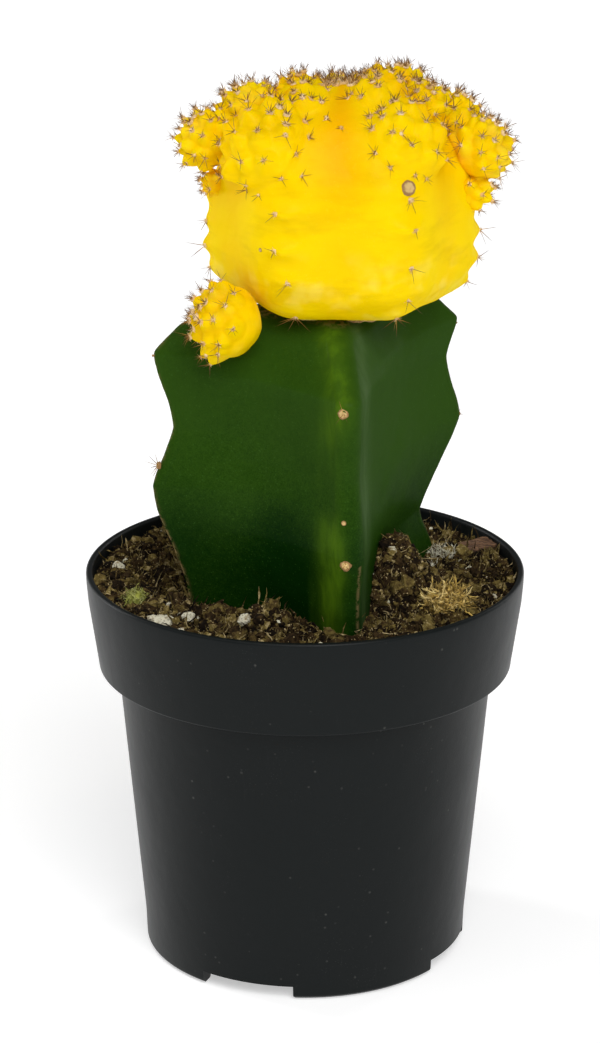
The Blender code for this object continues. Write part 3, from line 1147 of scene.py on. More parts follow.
@dataclass(frozen=True)
class Sprouting:
    """How one kind of growth stands on all areoles of a bed.

    tall, stout and fan hold one value for each areole; length, width and spread apply to them all.
    """

    kind: str
    template: Template
    finish: Finish
    tall: list[float]
    stout: list[float]
    fan: list[float]
    length: float
    width: float
    spread: float
    ruffle: float = 0.0

    def inputs(self, shape: bpy.types.Object, seed: int) -> dict[str, Feed]:
        """The sprout tree's inputs.

        Args:
            shape: the template's object.
            seed: of everything random in it.

        Returns:
            Each input by its name.
        """
        return {
            "Template": shape,
            "Count Name": self.kind,
            "Length": self.length,
            "Width": self.width,
            "Spread": self.spread,
            "Ruffle": self.ruffle,
            "Waves": 1.6 / MM,
            "Seed": seed,
            "Material": self.finish.material(),
        }


class AreoleBed:
    """All areoles of one plant part, grown into spines, felt and hairs."""

    def __init__(self, name: str, slot: Slot) -> None:
        """Start an empty bed."""
        self.name = name
        self.slot = slot
        self.areoles: list[Areole] = []

    def _host(self, sprouting: Sprouting) -> bpy.types.Mesh:
        """Points that carry what the sprout tree reads.

        Args:
            sprouting: what will stand on the points.

        Returns:
            A mesh of points alone.
        """
        mesh = mesh_of(self.name, np.array([a.spot for a in self.areoles]), [])
        turns = random.Random(len(self.areoles))
        set_values(mesh, "aim", np.array([a.aim for a in self.areoles]), "FLOAT_VECTOR")
        set_values(mesh, "turn", [turns.uniform(0, 6.28) for _ in self.areoles])
        set_values(mesh, "reach", sprouting.tall)
        set_values(mesh, "stout", sprouting.stout)
        set_values(mesh, "fan", sprouting.fan)
        set_values(mesh, "spines", [a.spines for a in self.areoles], "INT")
        set_values(mesh, "hairs", [a.hairs for a in self.areoles], "INT")
        set_values(mesh, "felt", [1] * len(self.areoles), "INT")
        return mesh

    def grow(self, tree: SproutTree, shapes: dict[Template, bpy.types.Object], seed: int) -> None:
        """Grow the bed's three pieces.

        Args:
            tree: the sprout tree.
            shapes: the templates.
            seed: of everything random in the bed.
        """
        reach = [a.reach * MM for a in self.areoles]
        wool = [a.wool * MM for a in self.areoles]
        ones = [1.0] * len(reach)
        fan = [a.fan for a in self.areoles]
        horn, felt, hair_ruffle, felt_ruffle = SpineFinish(), WoolFelt(), 0.30 * MM, 0.45 * MM
        kinds = (
            Sprouting("spines", Template.SPINE, horn, reach, ones, fan, 1.0, MM, 1.0),
            Sprouting("hairs", Template.HAIR, felt, wool, ones, ones, 1.8, MM, 1.15, hair_ruffle),
            Sprouting("felt", Template.FELT, felt, wool, wool, ones, 1.5, 1.8, 0.1, felt_ruffle),
        )
        for number, sprouting in enumerate(kinds):
            inputs = sprouting.inputs(shapes[sprouting.template], seed + 10 * number)
            piece = tree.grow(f"{self.name}_{sprouting.kind}", self._host(sprouting), inputs)
            settle(piece, self.slot)


class Growth:
    """The two growth trees and the templates that they stand on surfaces."""

    def __init__(self) -> None:
        """Write the trees and build the templates."""
        self.sprouts = SproutTree()
        self.scatter = ScatterTree()
        threads = (
            TaperedThread(Template.SPINE, 0.050, 4, 4, 0.14, 0.65),
            TaperedThread(Template.HAIR, 0.05, 3, 3, 0.35, 0.6),
            TaperedThread(Template.FIBRE, 0.035, 4, 5, 0.45, 0.6),
            TaperedThread(Template.STRAND, 0.045, 4, 7, 0.60, 0.4),
        )
        lumps = (
            Lump(Template.FELT, 0.9, 0.7),
            Lump(Template.CRUMB, 0.6),
            Lump(Template.GRIT),
        )
        self.shapes = {shape.template: shape.build() for shape in (*threads, *lumps)}

    def clear(self) -> None:
        """Take the templates out of the scene."""
        for shape in self.shapes.values():
            remove(shape)


@dataclass(frozen=True)
class Strewing:
    """One lot of small shapes strewn over a host. Sizes in millimetres, density per square metre."""

    name: str
    template: Template
    finish: Finish
    slot: Slot
    apart: float
    density: float
    sizes: tuple[float, float]
    shades: tuple[float, float]
    ruffle: float = 0.9
    waves: float = 1.1
    slender: float = 1.0
    tumble: float = math.pi
    lean: float = 0.0
    lift: float = 0.0

    def grow(self, growth: Growth, host: bpy.types.Mesh, seed: int) -> bpy.types.Object:
        """Strew the lot.

        Args:
            growth: the trees and templates.
            host: the mesh to cover, which is copied.
            seed: of everything random in the lot.

        Returns:
            The settled piece.
        """
        inputs = {
            "Template": growth.shapes[self.template],
            "Material": self.finish.material(),
            "Apart": self.apart * MM,
            "Density": self.density,
            "Smallest": self.sizes[0] * MM,
            "Largest": self.sizes[1] * MM,
            "Low Shade": self.shades[0],
            "High Shade": self.shades[1],
            "Ruffle": self.ruffle * MM,
            "Waves": self.waves / MM,
            "Slender": self.slender,
            "Tumble": self.tumble,
            "Lean": self.lean,
            "Lift": self.lift * MM,
            "Seed": seed,
        }
        return settle(growth.scatter.grow(self.name, host.copy(), inputs), self.slot)


# ---------------------------------------------------------------- pot


@dataclass
class NurseryPot:
    """The turned plastic pot. Sizes in millimetres."""

    node: str = "pot"
    collar_foot_z: float = 44.9
    collar_foot_radius: float = 30.8
    body_top_radius: float = 27.9
    body_foot_radius: float = 24.1
    wall: float = 0.9
    foot_height: float = 2.2
    foot_width: float = 2.6
    foot_gap: float = 14.4
    foot_turn: float = -66.5
    feet: int = 4
    floor_z: float = 2.6
    drain_radius: float = 1.8
    drain_circle: float = 14.0
    drain_sides: int = 48
    cutter: float = 12.0
    crease: float = 38.0
    steps: int = 200
    finish: BlackPlastic = BlackPlastic()

    def __post_init__(self) -> None:
        """Read the rim's size from the frame."""
        low, high = box_mm(self.node)
        self.rim_radius = float(high[0] - low[0]) / 2
        self.rim_z = float(high[2])

    def inner_radius(self, z: float) -> float:
        """Inner radius at a height, wall and collar included.

        Args:
            z: the height.

        Returns:
            The radius.
        """
        if z > self.collar_foot_z + self.wall:
            share = (z - self.collar_foot_z) / (self.rim_z - self.collar_foot_z)
            return self.collar_foot_radius + share * (self.rim_radius - self.collar_foot_radius) - self.wall
        share = (z - self.foot_height) / (self.collar_foot_z - self.foot_height)
        return self.body_foot_radius + share * (self.body_top_radius - self.body_foot_radius) - self.wall

    def outline(self) -> list[tuple[float, float]]:
        """The turned outline: up the inside, over the lip and down the outside to the axis.

        Returns:
            (radius, height) pairs, from the middle of the inside to that of the outside.
        """
        top = self.floor_z + self.wall
        step = self.collar_foot_z
        fillet = 1.5
        inside = [(0, top), (8, top), (16, top)]
        centre = (self.inner_radius(top + fillet) - fillet, top + fillet)
        inside += arc(centre, fillet, -90, 0, 5)
        inside += [(self.inner_radius(z), z) for z in (15.0, 30.0, step - 0.6)]
        inside += [(self.inner_radius(step) + 0.2, step + 0.3)]
        inside += [(self.inner_radius(z), z) for z in (step + 1.4, step + 6, self.rim_z - 3)]
        bead = self.wall * 0.55
        lip = arc((self.rim_radius - bead, self.rim_z - bead), bead, 180, 0, 13)
        outside = [(self.rim_radius - 0.04, self.rim_z - 1.6), (self.rim_radius - 0.28, self.rim_z - 4.5)]
        outside += [(self.collar_foot_radius + 0.06, step + 0.9)]
        outside += arc((self.collar_foot_radius - 0.35, step + 0.35), 0.35, 0, -90, 6)
        outside += [(self.body_top_radius + 0.75, step)]
        outside += arc((self.body_top_radius + 0.7, step - 0.7), 0.7, 90, 180, 5)
        outside += [(self.body_top_radius - 1.0, 33.0), (self.body_top_radius - 2.0, 22.0)]
        outside += [(self.body_foot_radius + 0.9, 12.0), (self.body_foot_radius + 0.25, 4.8)]
        foot_inside = self.body_foot_radius - self.foot_width
        ring = arc((self.body_foot_radius - 0.45, 0.9), 0.55, 0, -70, 5)
        ring += [(self.body_foot_radius - 0.8, 0), (foot_inside + 0.3, 0)]
        ring += arc((foot_inside + 0.3, 0.3), 0.3, -90, -180, 4)
        ring += [(foot_inside - 0.1, self.floor_z - 0.3), (foot_inside - 0.5, self.floor_z)]
        ring += [(12, self.floor_z), (0, self.floor_z)]
        return inside + lip + outside + ring

    def _cutters(self) -> list[bpy.types.Object]:
        """Boxes for the gaps between the feet and rods for the drain holes.

        Returns:
            The cutter objects.
        """
        made = []
        for index in range(self.feet):
            azimuth = math.radians(self.foot_turn + 360 / self.feet * (index + 0.5))
            working = bmesh.new()
            bmesh.ops.create_cube(working, size=1)
            size = Matrix.Diagonal((self.cutter, self.foot_gap, 2 * self.foot_height, 1))
            outward = Matrix.Translation((self.body_foot_radius - 2, 0, 0))
            place = Matrix.Scale(MM, 4) @ Matrix.Rotation(azimuth, 4, "Z") @ outward @ size
            bmesh.ops.transform(working, matrix=place, verts=working.verts)
            made.append(self._cutter(working))
        for index in range(self.feet + 1):
            azimuth = math.radians(self.foot_turn + 360 / self.feet * index)
            reach = self.drain_circle if index < self.feet else 0.0
            working = bmesh.new()
            radius = self.drain_radius * MM
            size = {"segments": self.drain_sides, "radius1": radius, "radius2": radius, "depth": 4 * MM}
            bmesh.ops.create_cone(working, cap_ends=True, **size)
            spot = Vector((math.cos(azimuth) * reach, math.sin(azimuth) * reach, self.floor_z + 0.4))
            bmesh.ops.translate(working, verts=working.verts, vec=spot * MM)
            made.append(self._cutter(working))
        return made

    @staticmethod
    def _cutter(working: bmesh.types.BMesh) -> bpy.types.Object:
        """Turn a working mesh into a cutter object.

        Args:
            working: the cutter's shape.

        Returns:
            The cutter.
        """
        bmesh.ops.recalc_face_normals(working, faces=working.faces)
        return add_object("pot_cutter", mesh_from(working, "pot_cutter"))

    def build(self) -> bpy.types.Object:
        """Turn the outline and cut the feet and the drain holes.

        Returns:
            The pot, with smooth walls and sharp edges.
        """
        points = [(r * MM, 0, z * MM) for r, z in self.outline()]
        mesh = bpy.data.meshes.new("nursery_pot")
        mesh.from_pydata(points, [(i, i + 1) for i in range(len(points) - 1)], [])
        pot = add_object("nursery_pot", mesh)
        screw = pot.modifiers.new("turn", "SCREW")
        screw.steps = self.steps
        screw.render_steps = self.steps
        screw.use_merge_vertices = True
        screw.merge_threshold = 0.00001
        screw.use_normal_calculate = True
        made_real(pot)
        cutters = self._cutters()
        for cutter in cutters:
            boolean = pot.modifiers.new("cut", "BOOLEAN")
            boolean.operation = "DIFFERENCE"
            boolean.solver = "EXACT"
            boolean.object = cutter
        made_real(pot)
        for cutter in cutters:
            remove(cutter)
        pot.data.shade_smooth()
        pot.data.set_sharp_from_angle(angle=math.radians(self.crease))
        return pot

    def dress(self, pot: bpy.types.Object) -> None:
        """Give the pot its plastic and let it stand for the CAD pot."""
        settle(self.finish.cover(pot), Slot.PLASTIC, self.node)


# ---------------------------------------------------------------- soil


@dataclass(frozen=True)
class Mound:
    """A rise or a pit of the soil. Sizes in millimetres."""

    centre: tuple[float, float]
    radius: float
    rise: float

    def height(self, x: np.ndarray, y: np.ndarray) -> np.ndarray:
        """Its height at points."""
        distance = np.hypot(x - self.centre[0], y - self.centre[1]) / self.radius
        return self.rise * np.where(distance < 1, 0.5 + 0.5 * np.cos(np.pi * distance), 0.0)


@dataclass
class SoilBed:
    """The crumbly top of the potting soil. Sizes in millimetres."""

    pot: NurseryPot
    node: str = "soil"
    level: float = 58.2
    gap: float = 0.3
    clear: float = 0.12
    rings: int = 120
    steps: int = 400
    mounds: tuple[Mound, ...] = (
        Mound((12.6, -8.6), 10.0, 9.4),
        Mound((-5.5, -21.5), 5.2, 3.2),
        Mound((20.5, -15.0), 6.0, 1.0),
        Mound((1.6, -26.0), 4.2, -1.8),
        Mound((-19.5, -5.0), 5.0, -3.0),
    )
    mould: tuple[tuple[float, float, float], ...] = ((20.6, 9.2, 2.6), (18.2, 4.6, 1.8))
    finish: PottingSoil = PottingSoil()

    def height(self, x: np.ndarray, y: np.ndarray) -> np.ndarray:
        """Height of the packed soil under points.

        Args:
            x: the points' x.
            y: the points' y.

        Returns:
            The heights.
        """
        wave = [noise.noise(Vector((a / 5, b / 5, 3.7))) for a, b in zip(x, y)]
        height = self.level + 0.45 * np.array(wave)
        for mound in self.mounds:
            height = height + mound.height(x, y)
        edge = self.pot.inner_radius(self.level) - np.hypot(x, y)
        return np.minimum(height, self.level + 0.6 * np.maximum(edge, 0))

    def build(self) -> bpy.types.Object:
        """A rough top on a plain plug that fills the pot.

        Returns:
            The bed, with where it may be strewn.
        """
        top = self.pot.inner_radius(self.level) - self.gap
        radii = top * np.sqrt(np.linspace(1.0, 0.0, self.rings + 1)[:-1])
        angles = np.linspace(0, 2 * np.pi, self.steps, endpoint=False)
        x = np.append(np.outer(radii, np.cos(angles)), 0.0)
        y = np.append(np.outer(radii, np.sin(angles)), 0.0)
        flat = np.stack([x, y, np.full_like(x, 7.0)], 1)
        clods = rough(flat, 3.4, 3, 2.0)
        grains = rough(flat, 1.1, 4, 5.0)
        calm = eased(top - np.hypot(x, y), -0.2, 1.6)
        z = self.height(x, y) + calm * (0.75 * clods + 0.50 * grains) - 0.35
        surface = np.stack([x, y, z], 1)
        deep = self.pot.floor_z + self.pot.wall + self.gap
        plug = []
        step = self.pot.collar_foot_z
        for level, trim in ((deep, 2.0), (deep + 2, 0.0), (step, 0.0), (step + 1.6, 0.0)):
            plug.append(circle(self.pot.inner_radius(level) - self.gap - trim, angles, level))
        rings = np.vstack([*plug, surface[:-1]])
        points = np.vstack([rings, [[0, 0, deep]], surface[-1:]])
        faces = loft_faces(len(plug) + self.rings, self.steps, True, True)
        mesh = mesh_of("soil_bed", points, faces)
        # painted shade: low shade values keep the bare bed dark in the gaps between the crumbs
        shade = 0.08 + 0.22 * rough(points, 2.0, 3, 9.0)
        set_values(mesh, "shade", shade)
        inside = np.hypot(points[:, 0], points[:, 1]) < top - 0.5
        set_values(mesh, "cover", (inside & (points[:, 2] > self.level - 6)).astype(float))
        return add_object("soil_bed", mesh)

    def dress(self, bed: bpy.types.Object, growth: Growth) -> None:
        """Strew crumbs, grit, fibres and perlite specks over the bed and finish all of it.

        Args:
            bed: the bare bed.
            growth: the trees and templates.
        """
        for number, lot in enumerate(self.lots()):
            self._hold(lot.grow(growth, bed.data, SOIL_SEED + number))
        fluff = Strewing(
            "soil_fluff",
            Template.HAIR,
            Fluff(),
            Slot.MOSS,
            apart=0.09,
            density=5e7,
            sizes=(0.5, 1.3),
            shades=(0.1, 1.2),
            ruffle=1.1,
            waves=0.9,
            slender=1.3,
            tumble=1.2,
            lift=0.3,
        )
        fluff.grow(growth, self._patch(bed.data), FLUFF_SEED)
        settle(self.finish.cover(bed), Slot.SOIL, self.node)

    def lots(self) -> tuple[Strewing, ...]:
        """What is strewn over the whole bed.

        Returns:
            The lots, in the order that they are strewn.
        """
        crumb = (Template.CRUMB, self.finish, Slot.SOIL)
        grit = (Template.GRIT, self.finish, Slot.SOIL)
        fibre = (Template.FIBRE, self.finish, Slot.SOIL)
        white = (Template.CRUMB, Perlite(), Slot.MINERAL)
        lying = {"tumble": 0.35, "lean": 1.45}
        rising = {"tumble": 0.45, "lean": 1.35}
        return (
            Strewing("soil_clods", *crumb, 0.9, 6e5, (0.9, 2.4), (-0.1, 0.95), 1.6, 1.5),
            Strewing("soil_crumbs", *crumb, 0.51, 1.9e6, (0.5, 1.15), (-0.1, 1.0), 0.95, 2.2),
            Strewing("soil_grit", *grit, 0.33, 3.4e6, (0.28, 0.65), (0.0, 1.25), 0.3, 3.0),
            Strewing("soil_shreds", *fibre, 0.5, 1.8e6, (0.5, 1.5), (0.0, 1.2), 0.9, 1.9, 4.5, **lying),
            Strewing("soil_fibres", *fibre, 1.1, 4e5, (1.2, 3.2), (0.65, 1.35), 1.1, 1.1, 1.0, **rising),
            Strewing("perlite_specks", *white, 3.2, 1.2e5, (0.4, 1.3), (0, 1), 0.5),
        )

    def _hold(self, piece: bpy.types.Object) -> None:
        """Press what reaches into the pot's wall back inside it.

        Args:
            piece: a strewn piece, which is changed.
        """
        spots = points_mm(piece.data)
        reach = np.hypot(spots[:, 0], spots[:, 1])
        limit = np.array([self.pot.inner_radius(z) for z in spots[:, 2]]) - self.clear
        spots[:, :2] *= np.minimum(1, limit / np.maximum(reach, 1e-6))[:, None]
        piece.data.vertices.foreach_set("co", (spots * MM).astype(np.float32).ravel())
        piece.data.update()

    def _patch(self, mesh: bpy.types.Mesh) -> bpy.types.Mesh:
        """A copy of the bed's mesh that takes growth only beside the foot of the right rib.

        Args:
            mesh: the bed's mesh.

        Returns:
            The copy.
        """
        patch = mesh.copy()
        spots = points_mm(patch)
        cover = np.zeros(len(spots))
        for x, y, radius in self.mould:
            cover += eased(-np.hypot(spots[:, 0] - x, spots[:, 1] - y), -radius, -0.4 * radius)
        cover *= spots[:, 2] > self.level - 3
        patch.attributes["cover"].data.foreach_set("value", np.clip(cover, 0, 1).astype(np.float32))
        return patch


# ---------------------------------------------------------------- rootstock


@dataclass(frozen=True)
class StemAreole:
    """A woody areole on a rib's edge: its height, spines, their length, and its pad's share."""

    z: float
    spines: int
    reach: float
    pad: float


@dataclass(frozen=True)
class StemRib:
    """One rib of the stem. Sizes in millimetres, angles in degrees.

    The crest is given as (height, radius) pairs, shoulder is the slope of its shaved top, half is
    half of the edge's width, pull how far out the face after the rib lies, and shift how far the
    areoles sit beside the middle of the edge.
    """

    azimuth: float
    crest: tuple[tuple[float, float], ...]
    shoulder: float
    half: float
    pull: float
    areoles: tuple[StemAreole, ...]
    shift: float = 0.0
    least: float = 12.6
    corner: float = 0.5

    def radius(self, z: float) -> float:
        """Crest radius at a height, eased between bumps and hollows, then shaved off.

        Args:
            z: the height.

        Returns:
            The radius.
        """
        heights = [h for h, _ in self.crest]
        index = min(max(int(np.searchsorted(heights, z)) - 1, 0), len(heights) - 2)
        (low, r_low), (high, r_high) = self.crest[index], self.crest[index + 1]
        share = min(max((z - low) / (high - low), 0.0), 1.0)
        round_share = (1 - math.cos(math.pi * share)) / 2
        smooth = r_low + (r_high - r_low) * (round_share + share) / 2
        shaved = self.crest[-1][1] - (z - self.crest[-1][0]) * self.shoulder
        cut = (smooth + shaved - math.hypot(smooth - shaved, self.corner)) / 2
        return max(cut, self.least)


@dataclass
class Rootstock:
    """The three-ribbed green stem. Sizes in millimetres."""

    node: str = "rootstock"
    foot_z: float = 46.0
    soil_z: float = 58.2
    axis_low: tuple[float, float] = (1.5, -4.0)
    axis_high: tuple[float, float] = (3.2, -3.4)
    twist: float = -6.0
    nose_depth: float = 1.5
    nose_points: int = 13
    face_points: int = 84
    softening: int = 6
    top_round: float = 0.22
    round_depth: float = 2.4
    levels: int = 200
    wart_z: float = 75.4
    crease: float = 50.0
    ribs: tuple[StemRib, ...] = (
        StemRib(
            -77,
            ((38, 14), (58, 21.8), (63, 21.8), (70, 23.8), (81, 21.8), (93, 24.0)),
            1.3,
            2.0,
            0.74,
            (StemAreole(69.4, 3, 1.9, 0.9), StemAreole(91.8, 3, 3.1, 1.0)),
            shift=-0.9,
        ),
        StemRib(
            41,
            ((38, 14), (59, 23.1), (65.8, 20.1), (79.2, 26.3), (89.2, 22.6), (95.2, 24.4)),
            1.22,
            1.2,
            1.14,
            (StemAreole(79.4, 3, 1.2, 0.4), StemAreole(94.0, 1, 0.7, 0.1)),
        ),
        StemRib(
            202,
            ((38, 14), (58.6, 19.9), (76.2, 25.7), (84.6, 22.8), (96, 25.9)),
            1.1,
            1.1,
            0.70,
            (StemAreole(79.2, 8, 2.1, 0.6), StemAreole(95.4, 1, 0.7, 0.1)),
        ),
    )
    finish: GreenSkin = GreenSkin()

    def __post_init__(self) -> None:
        """Read the height of the graft from the frame."""
        self.union_z = float(box_mm(self.node)[1][2])

    def share(self, z: float) -> float:
        """How far up from the soil to the graft a height is, from 0 to 1."""
        return min(max((z - self.soil_z) / (self.union_z - self.soil_z), 0.0), 1.0)

    def centre(self, z: float) -> np.ndarray:
        """The stem's axis at a height."""
        low, high = np.array(self.axis_low), np.array(self.axis_high)
        return low + (high - low) * self.share(z)

    def outward(self, rib: StemRib, z: float) -> np.ndarray:
        """The level direction of a rib at a height."""
        azimuth = math.radians(rib.azimuth + self.twist * self.share(z))
        return np.array([math.cos(azimuth), math.sin(azimuth)])

    def ring(self, z: float) -> np.ndarray:
        """One level section: a rounded nose on each rib and a shallow curved face between two.

        Args:
            z: its height.

        Returns:
            Its points, anticlockwise from above.
        """
        noses = []
        turns = np.linspace(-np.pi / 2, np.pi / 2, self.nose_points)
        for rib in self.ribs:
            out = self.outward(rib, z)
            side = np.array([-out[1], out[0]])
            reach = rib.radius(z)
            along = reach - self.nose_depth + self.nose_depth * np.cos(turns)
            noses.append(np.outer(along, out) + np.outer(rib.half * np.sin(turns), side))
        shares = np.linspace(0, 1, self.face_points + 2)[1:-1, None]
        shares = 0.5 - 0.5 * np.cos(np.pi * shares)
        points = []
        for index, nose in enumerate(noses):
            start, end = nose[-1], noses[(index + 1) % len(noses)][0]
            pull = (start + end) * 0.5 * self.ribs[index].pull
            face = start * (1 - shares) ** 2 + pull * 2 * shares * (1 - shares) + end * shares ** 2
            points += [nose, face]
        outline = np.vstack(points)
        for _ in range(self.softening):
            outline = (np.roll(outline, 1, 0) + 2 * outline + np.roll(outline, -1, 0)) / 4
        outline *= 1 - self.top_round * max((z - self.union_z) / self.round_depth + 1, 0) ** 3
        return np.column_stack([outline + self.centre(z), np.full(len(outline), z)])

    def build(self) -> bpy.types.Object:
        """Loft the sections, close both ends, roughen the skin a little and store its markings.

        Returns:
            The stem.
        """
        heights = np.linspace(self.foot_z, self.union_z, self.levels)
        rings = np.array([self.ring(z) for z in heights])
        steps = rings.shape[1]
        points = rings.reshape(-1, 3)
        swell = 0.26 * rough(points, 9.0, 2, 1.0) + 0.05 * rough(points, 1.6, 2, 4.0)
        radial = points[:, :2] - np.repeat([self.centre(z) for z in heights], steps, 0)
        radial = radial / np.linalg.norm(radial, axis=1)[:, None]
        points[:, :2] += radial * swell[:, None]
        caps = [[*self.centre(self.foot_z), self.foot_z], [*self.centre(self.union_z), self.union_z]]
        points = np.vstack([points, caps])
        mesh = mesh_of("rootstock_skin", points, loft_faces(self.levels, steps, True, True))
        for name, values in self._markings(points).items():
            set_values(mesh, name, values)
        stem = add_object("rootstock_skin", mesh)
        mesh.set_sharp_from_angle(angle=math.radians(self.crease))
        return stem

    def crest(self, rib: StemRib, heights: np.ndarray) -> np.ndarray:
        """The middle of a rib's edge at each height."""
        places = [self.centre(z) + self.outward(rib, z) * rib.radius(z) for z in heights]
        return np.column_stack([np.array(places), heights])

    def _markings(self, points: np.ndarray) -> dict[str, np.ndarray]:
        """Where the skin is paler with a painted highlight, carries a painted sheen or is corky, and how
        much painted light falls on it.

        Args:
            points: one row for each point, in millimetres.

        Returns:
            A value from 0 to about 1 at each point, for each marking.
        """
        z = points[:, 2]
        offsets = [points - self.crest(rib, z) for rib in self.ribs]
        front, right, left = (np.linalg.norm(offset, axis=1) for offset in offsets)
        turn = math.radians(self.ribs[0].azimuth + 90)
        across = offsets[0][:, :2] @ np.array([math.cos(turn), math.sin(turn)])
        # the front rib's pale edge, partly its own tone and partly a painted highlight, strongest near the
        # top and near the foot
        strength = 0.15 + 0.85 * (eased(z, 84, 91) + 1 - eased(z, 71, 78))
        strip = across + 2.3 - 1.3 * eased(z, 84, 95)
        ridge = np.exp(-((strip / 1.4) ** 2)) * (front < 8) * strength
        # painted sheen: a narrow strip right of the front crest that stands in for a reflection
        bloom = 0.8 * np.exp(-((across - 3.2) / 1.3) ** 2) * (front < 12)
        cork = np.exp(-(left / 0.45) ** 2) * (0.35 + 0.65 * (1 - eased(z, 66, 74)))
        cork = np.maximum(cork, np.exp(-(right / 0.7) ** 2) * 0.5)
        scar = np.exp(-((across - 1.3) / 0.20) ** 2) * (front < 3) * (z < 69)
        cork = np.maximum(cork, 0.45 * scar)
        cork = np.maximum(cork, 0.6 * eased(z, self.union_z - 0.6, self.union_z))
        # painted light and shade: darker towards the soil, lighter right of the front crest, and a painted
        # shadow low down left of the front rib
        light = eased(z, 58, 92) * 0.75 + 0.25
        light += 0.30 * eased(across, 1.0, 6.0)
        light -= 0.60 * np.exp(-((across + 7.0) / 3.2) ** 2) * (1 - eased(z, 60, 80))
        return {"ridge": ridge, "bloom": bloom, "cork": np.clip(cork, 0, 1), "light": light}

    def edge(self, rib: StemRib, z: float) -> tuple[np.ndarray, np.ndarray]:
        """Place and direction of a spot on a rib's edge.

        Args:
            rib: the rib.
            z: the spot's height.

        Returns:
            The place and the outward direction.
        """
        out = self.outward(rib, z)
        side = np.array([-out[1], out[0]])
        inset = 0.05 + 0.2 * abs(rib.shift)
        spot = self.centre(z) + out * (rib.radius(z) - inset) + side * rib.shift
        return np.array([*spot, z]), unit([*(out + 0.35 * rib.shift * side), 0.15])

    def dress(self, stem: bpy.types.Object, growth: Growth) -> None:
        """Give the stem its skin, its woody areoles and their few spines.

        Args:
            stem: the bare stem.
            growth: the trees and templates.
        """
        settle(self.finish.cover(stem), Slot.SKIN, self.node)
        bed = AreoleBed("rootstock", Slot.BARK)
        scabs = []
        for rib in self.ribs:
            for areole in rib.areoles:
                spot, aim = self.edge(rib, areole.z)
                wool = 0.28 * areole.pad
                bed.areoles.append(Areole(spot, aim, areole.spines, areole.reach, 1.1, wool, 5))
                scabs.append(Scab(spot, aim, 0.70 * areole.pad + 0.1, 0.2))
        scabs.append(Scab(*self.edge(self.ribs[0], self.wart_z), 0.36, 0.16))
        bed.grow(growth.sprouts, growth.shapes, STEM_SEED)
        Scab.build_all("rootstock_scabs", scabs, Slot.BARK)


@dataclass(frozen=True)
class Scab:
    """A round woody scar. Sizes in millimetres."""

    spot: np.ndarray
    aim: np.ndarray
    radius: float
    height: float
    rings: int = 9
    steps: int = 28

    def mesh_parts(self, seed: float) -> tuple[np.ndarray, list, np.ndarray]:
        """Points, faces and rim values of a raised disc with a rolled rim.

        Args:
            seed: shifts the scab's wobble.

        Returns:
            Its points, its faces and the rim value at each point.
        """
        shares = np.linspace(1.15, 0.1, self.rings)
        angles = np.linspace(0, 2 * np.pi, self.steps, endpoint=False)
        lift = np.where(shares > 1, -0.8, 1 - np.clip(np.abs(shares - 0.72) / 0.42, 0, 1) ** 2 * 0.45)
        lift = np.where(shares < 0.55, 0.62 + 0.3 * (0.55 - shares), lift)
        x = np.outer(shares, np.cos(angles)).ravel() * self.radius
        y = np.outer(shares, np.sin(angles)).ravel() * self.radius
        z = np.repeat(lift, self.steps) * self.height
        local = np.vstack([np.stack([x, y, z], 1), [[0, 0, -self.height], [0, 0, 0.8 * self.height]]])
        wobble = 1 + 0.16 * rough(local + self.spot, 0.9, 3, seed)
        local *= wobble[:, None]
        points = local @ basis(self.aim) + self.spot
        rim = np.append(np.repeat(eased(shares, 0.45, 0.9), self.steps), [1.0, 0.0])
        return points, loft_faces(self.rings, self.steps, True, True), rim

    @staticmethod
    def build_all(name: str, scabs: Sequence["Scab"], slot: Slot) -> bpy.types.Object:
        """Join several scabs into one dressed piece.

        Args:
            name: the piece's name.
            scabs: the scabs to join.
            slot: the piece's material slot.

        Returns:
            The settled piece.
        """
        points, faces, rims, count = [], [], [], 0
        for number, scab in enumerate(scabs):
            part, part_faces, rim = scab.mesh_parts(float(number))
            faces += [tuple(i + count for i in face) for face in part_faces]
            points.append(part)
            rims.append(rim)
            count += len(part)
        mesh = mesh_of(name, np.vstack(points), faces)
        set_values(mesh, "rim", np.concatenate(rims))
        return settle(Cork().cover(add_object(name, mesh)), slot)


# ---------------------------------------------------------------- scion


@dataclass(frozen=True)
class ScionRib:
    """One rib of the scion: azimuth in degrees and the heights of its areoles in millimetres."""

    azimuth: float
    areoles: tuple[float, ...]


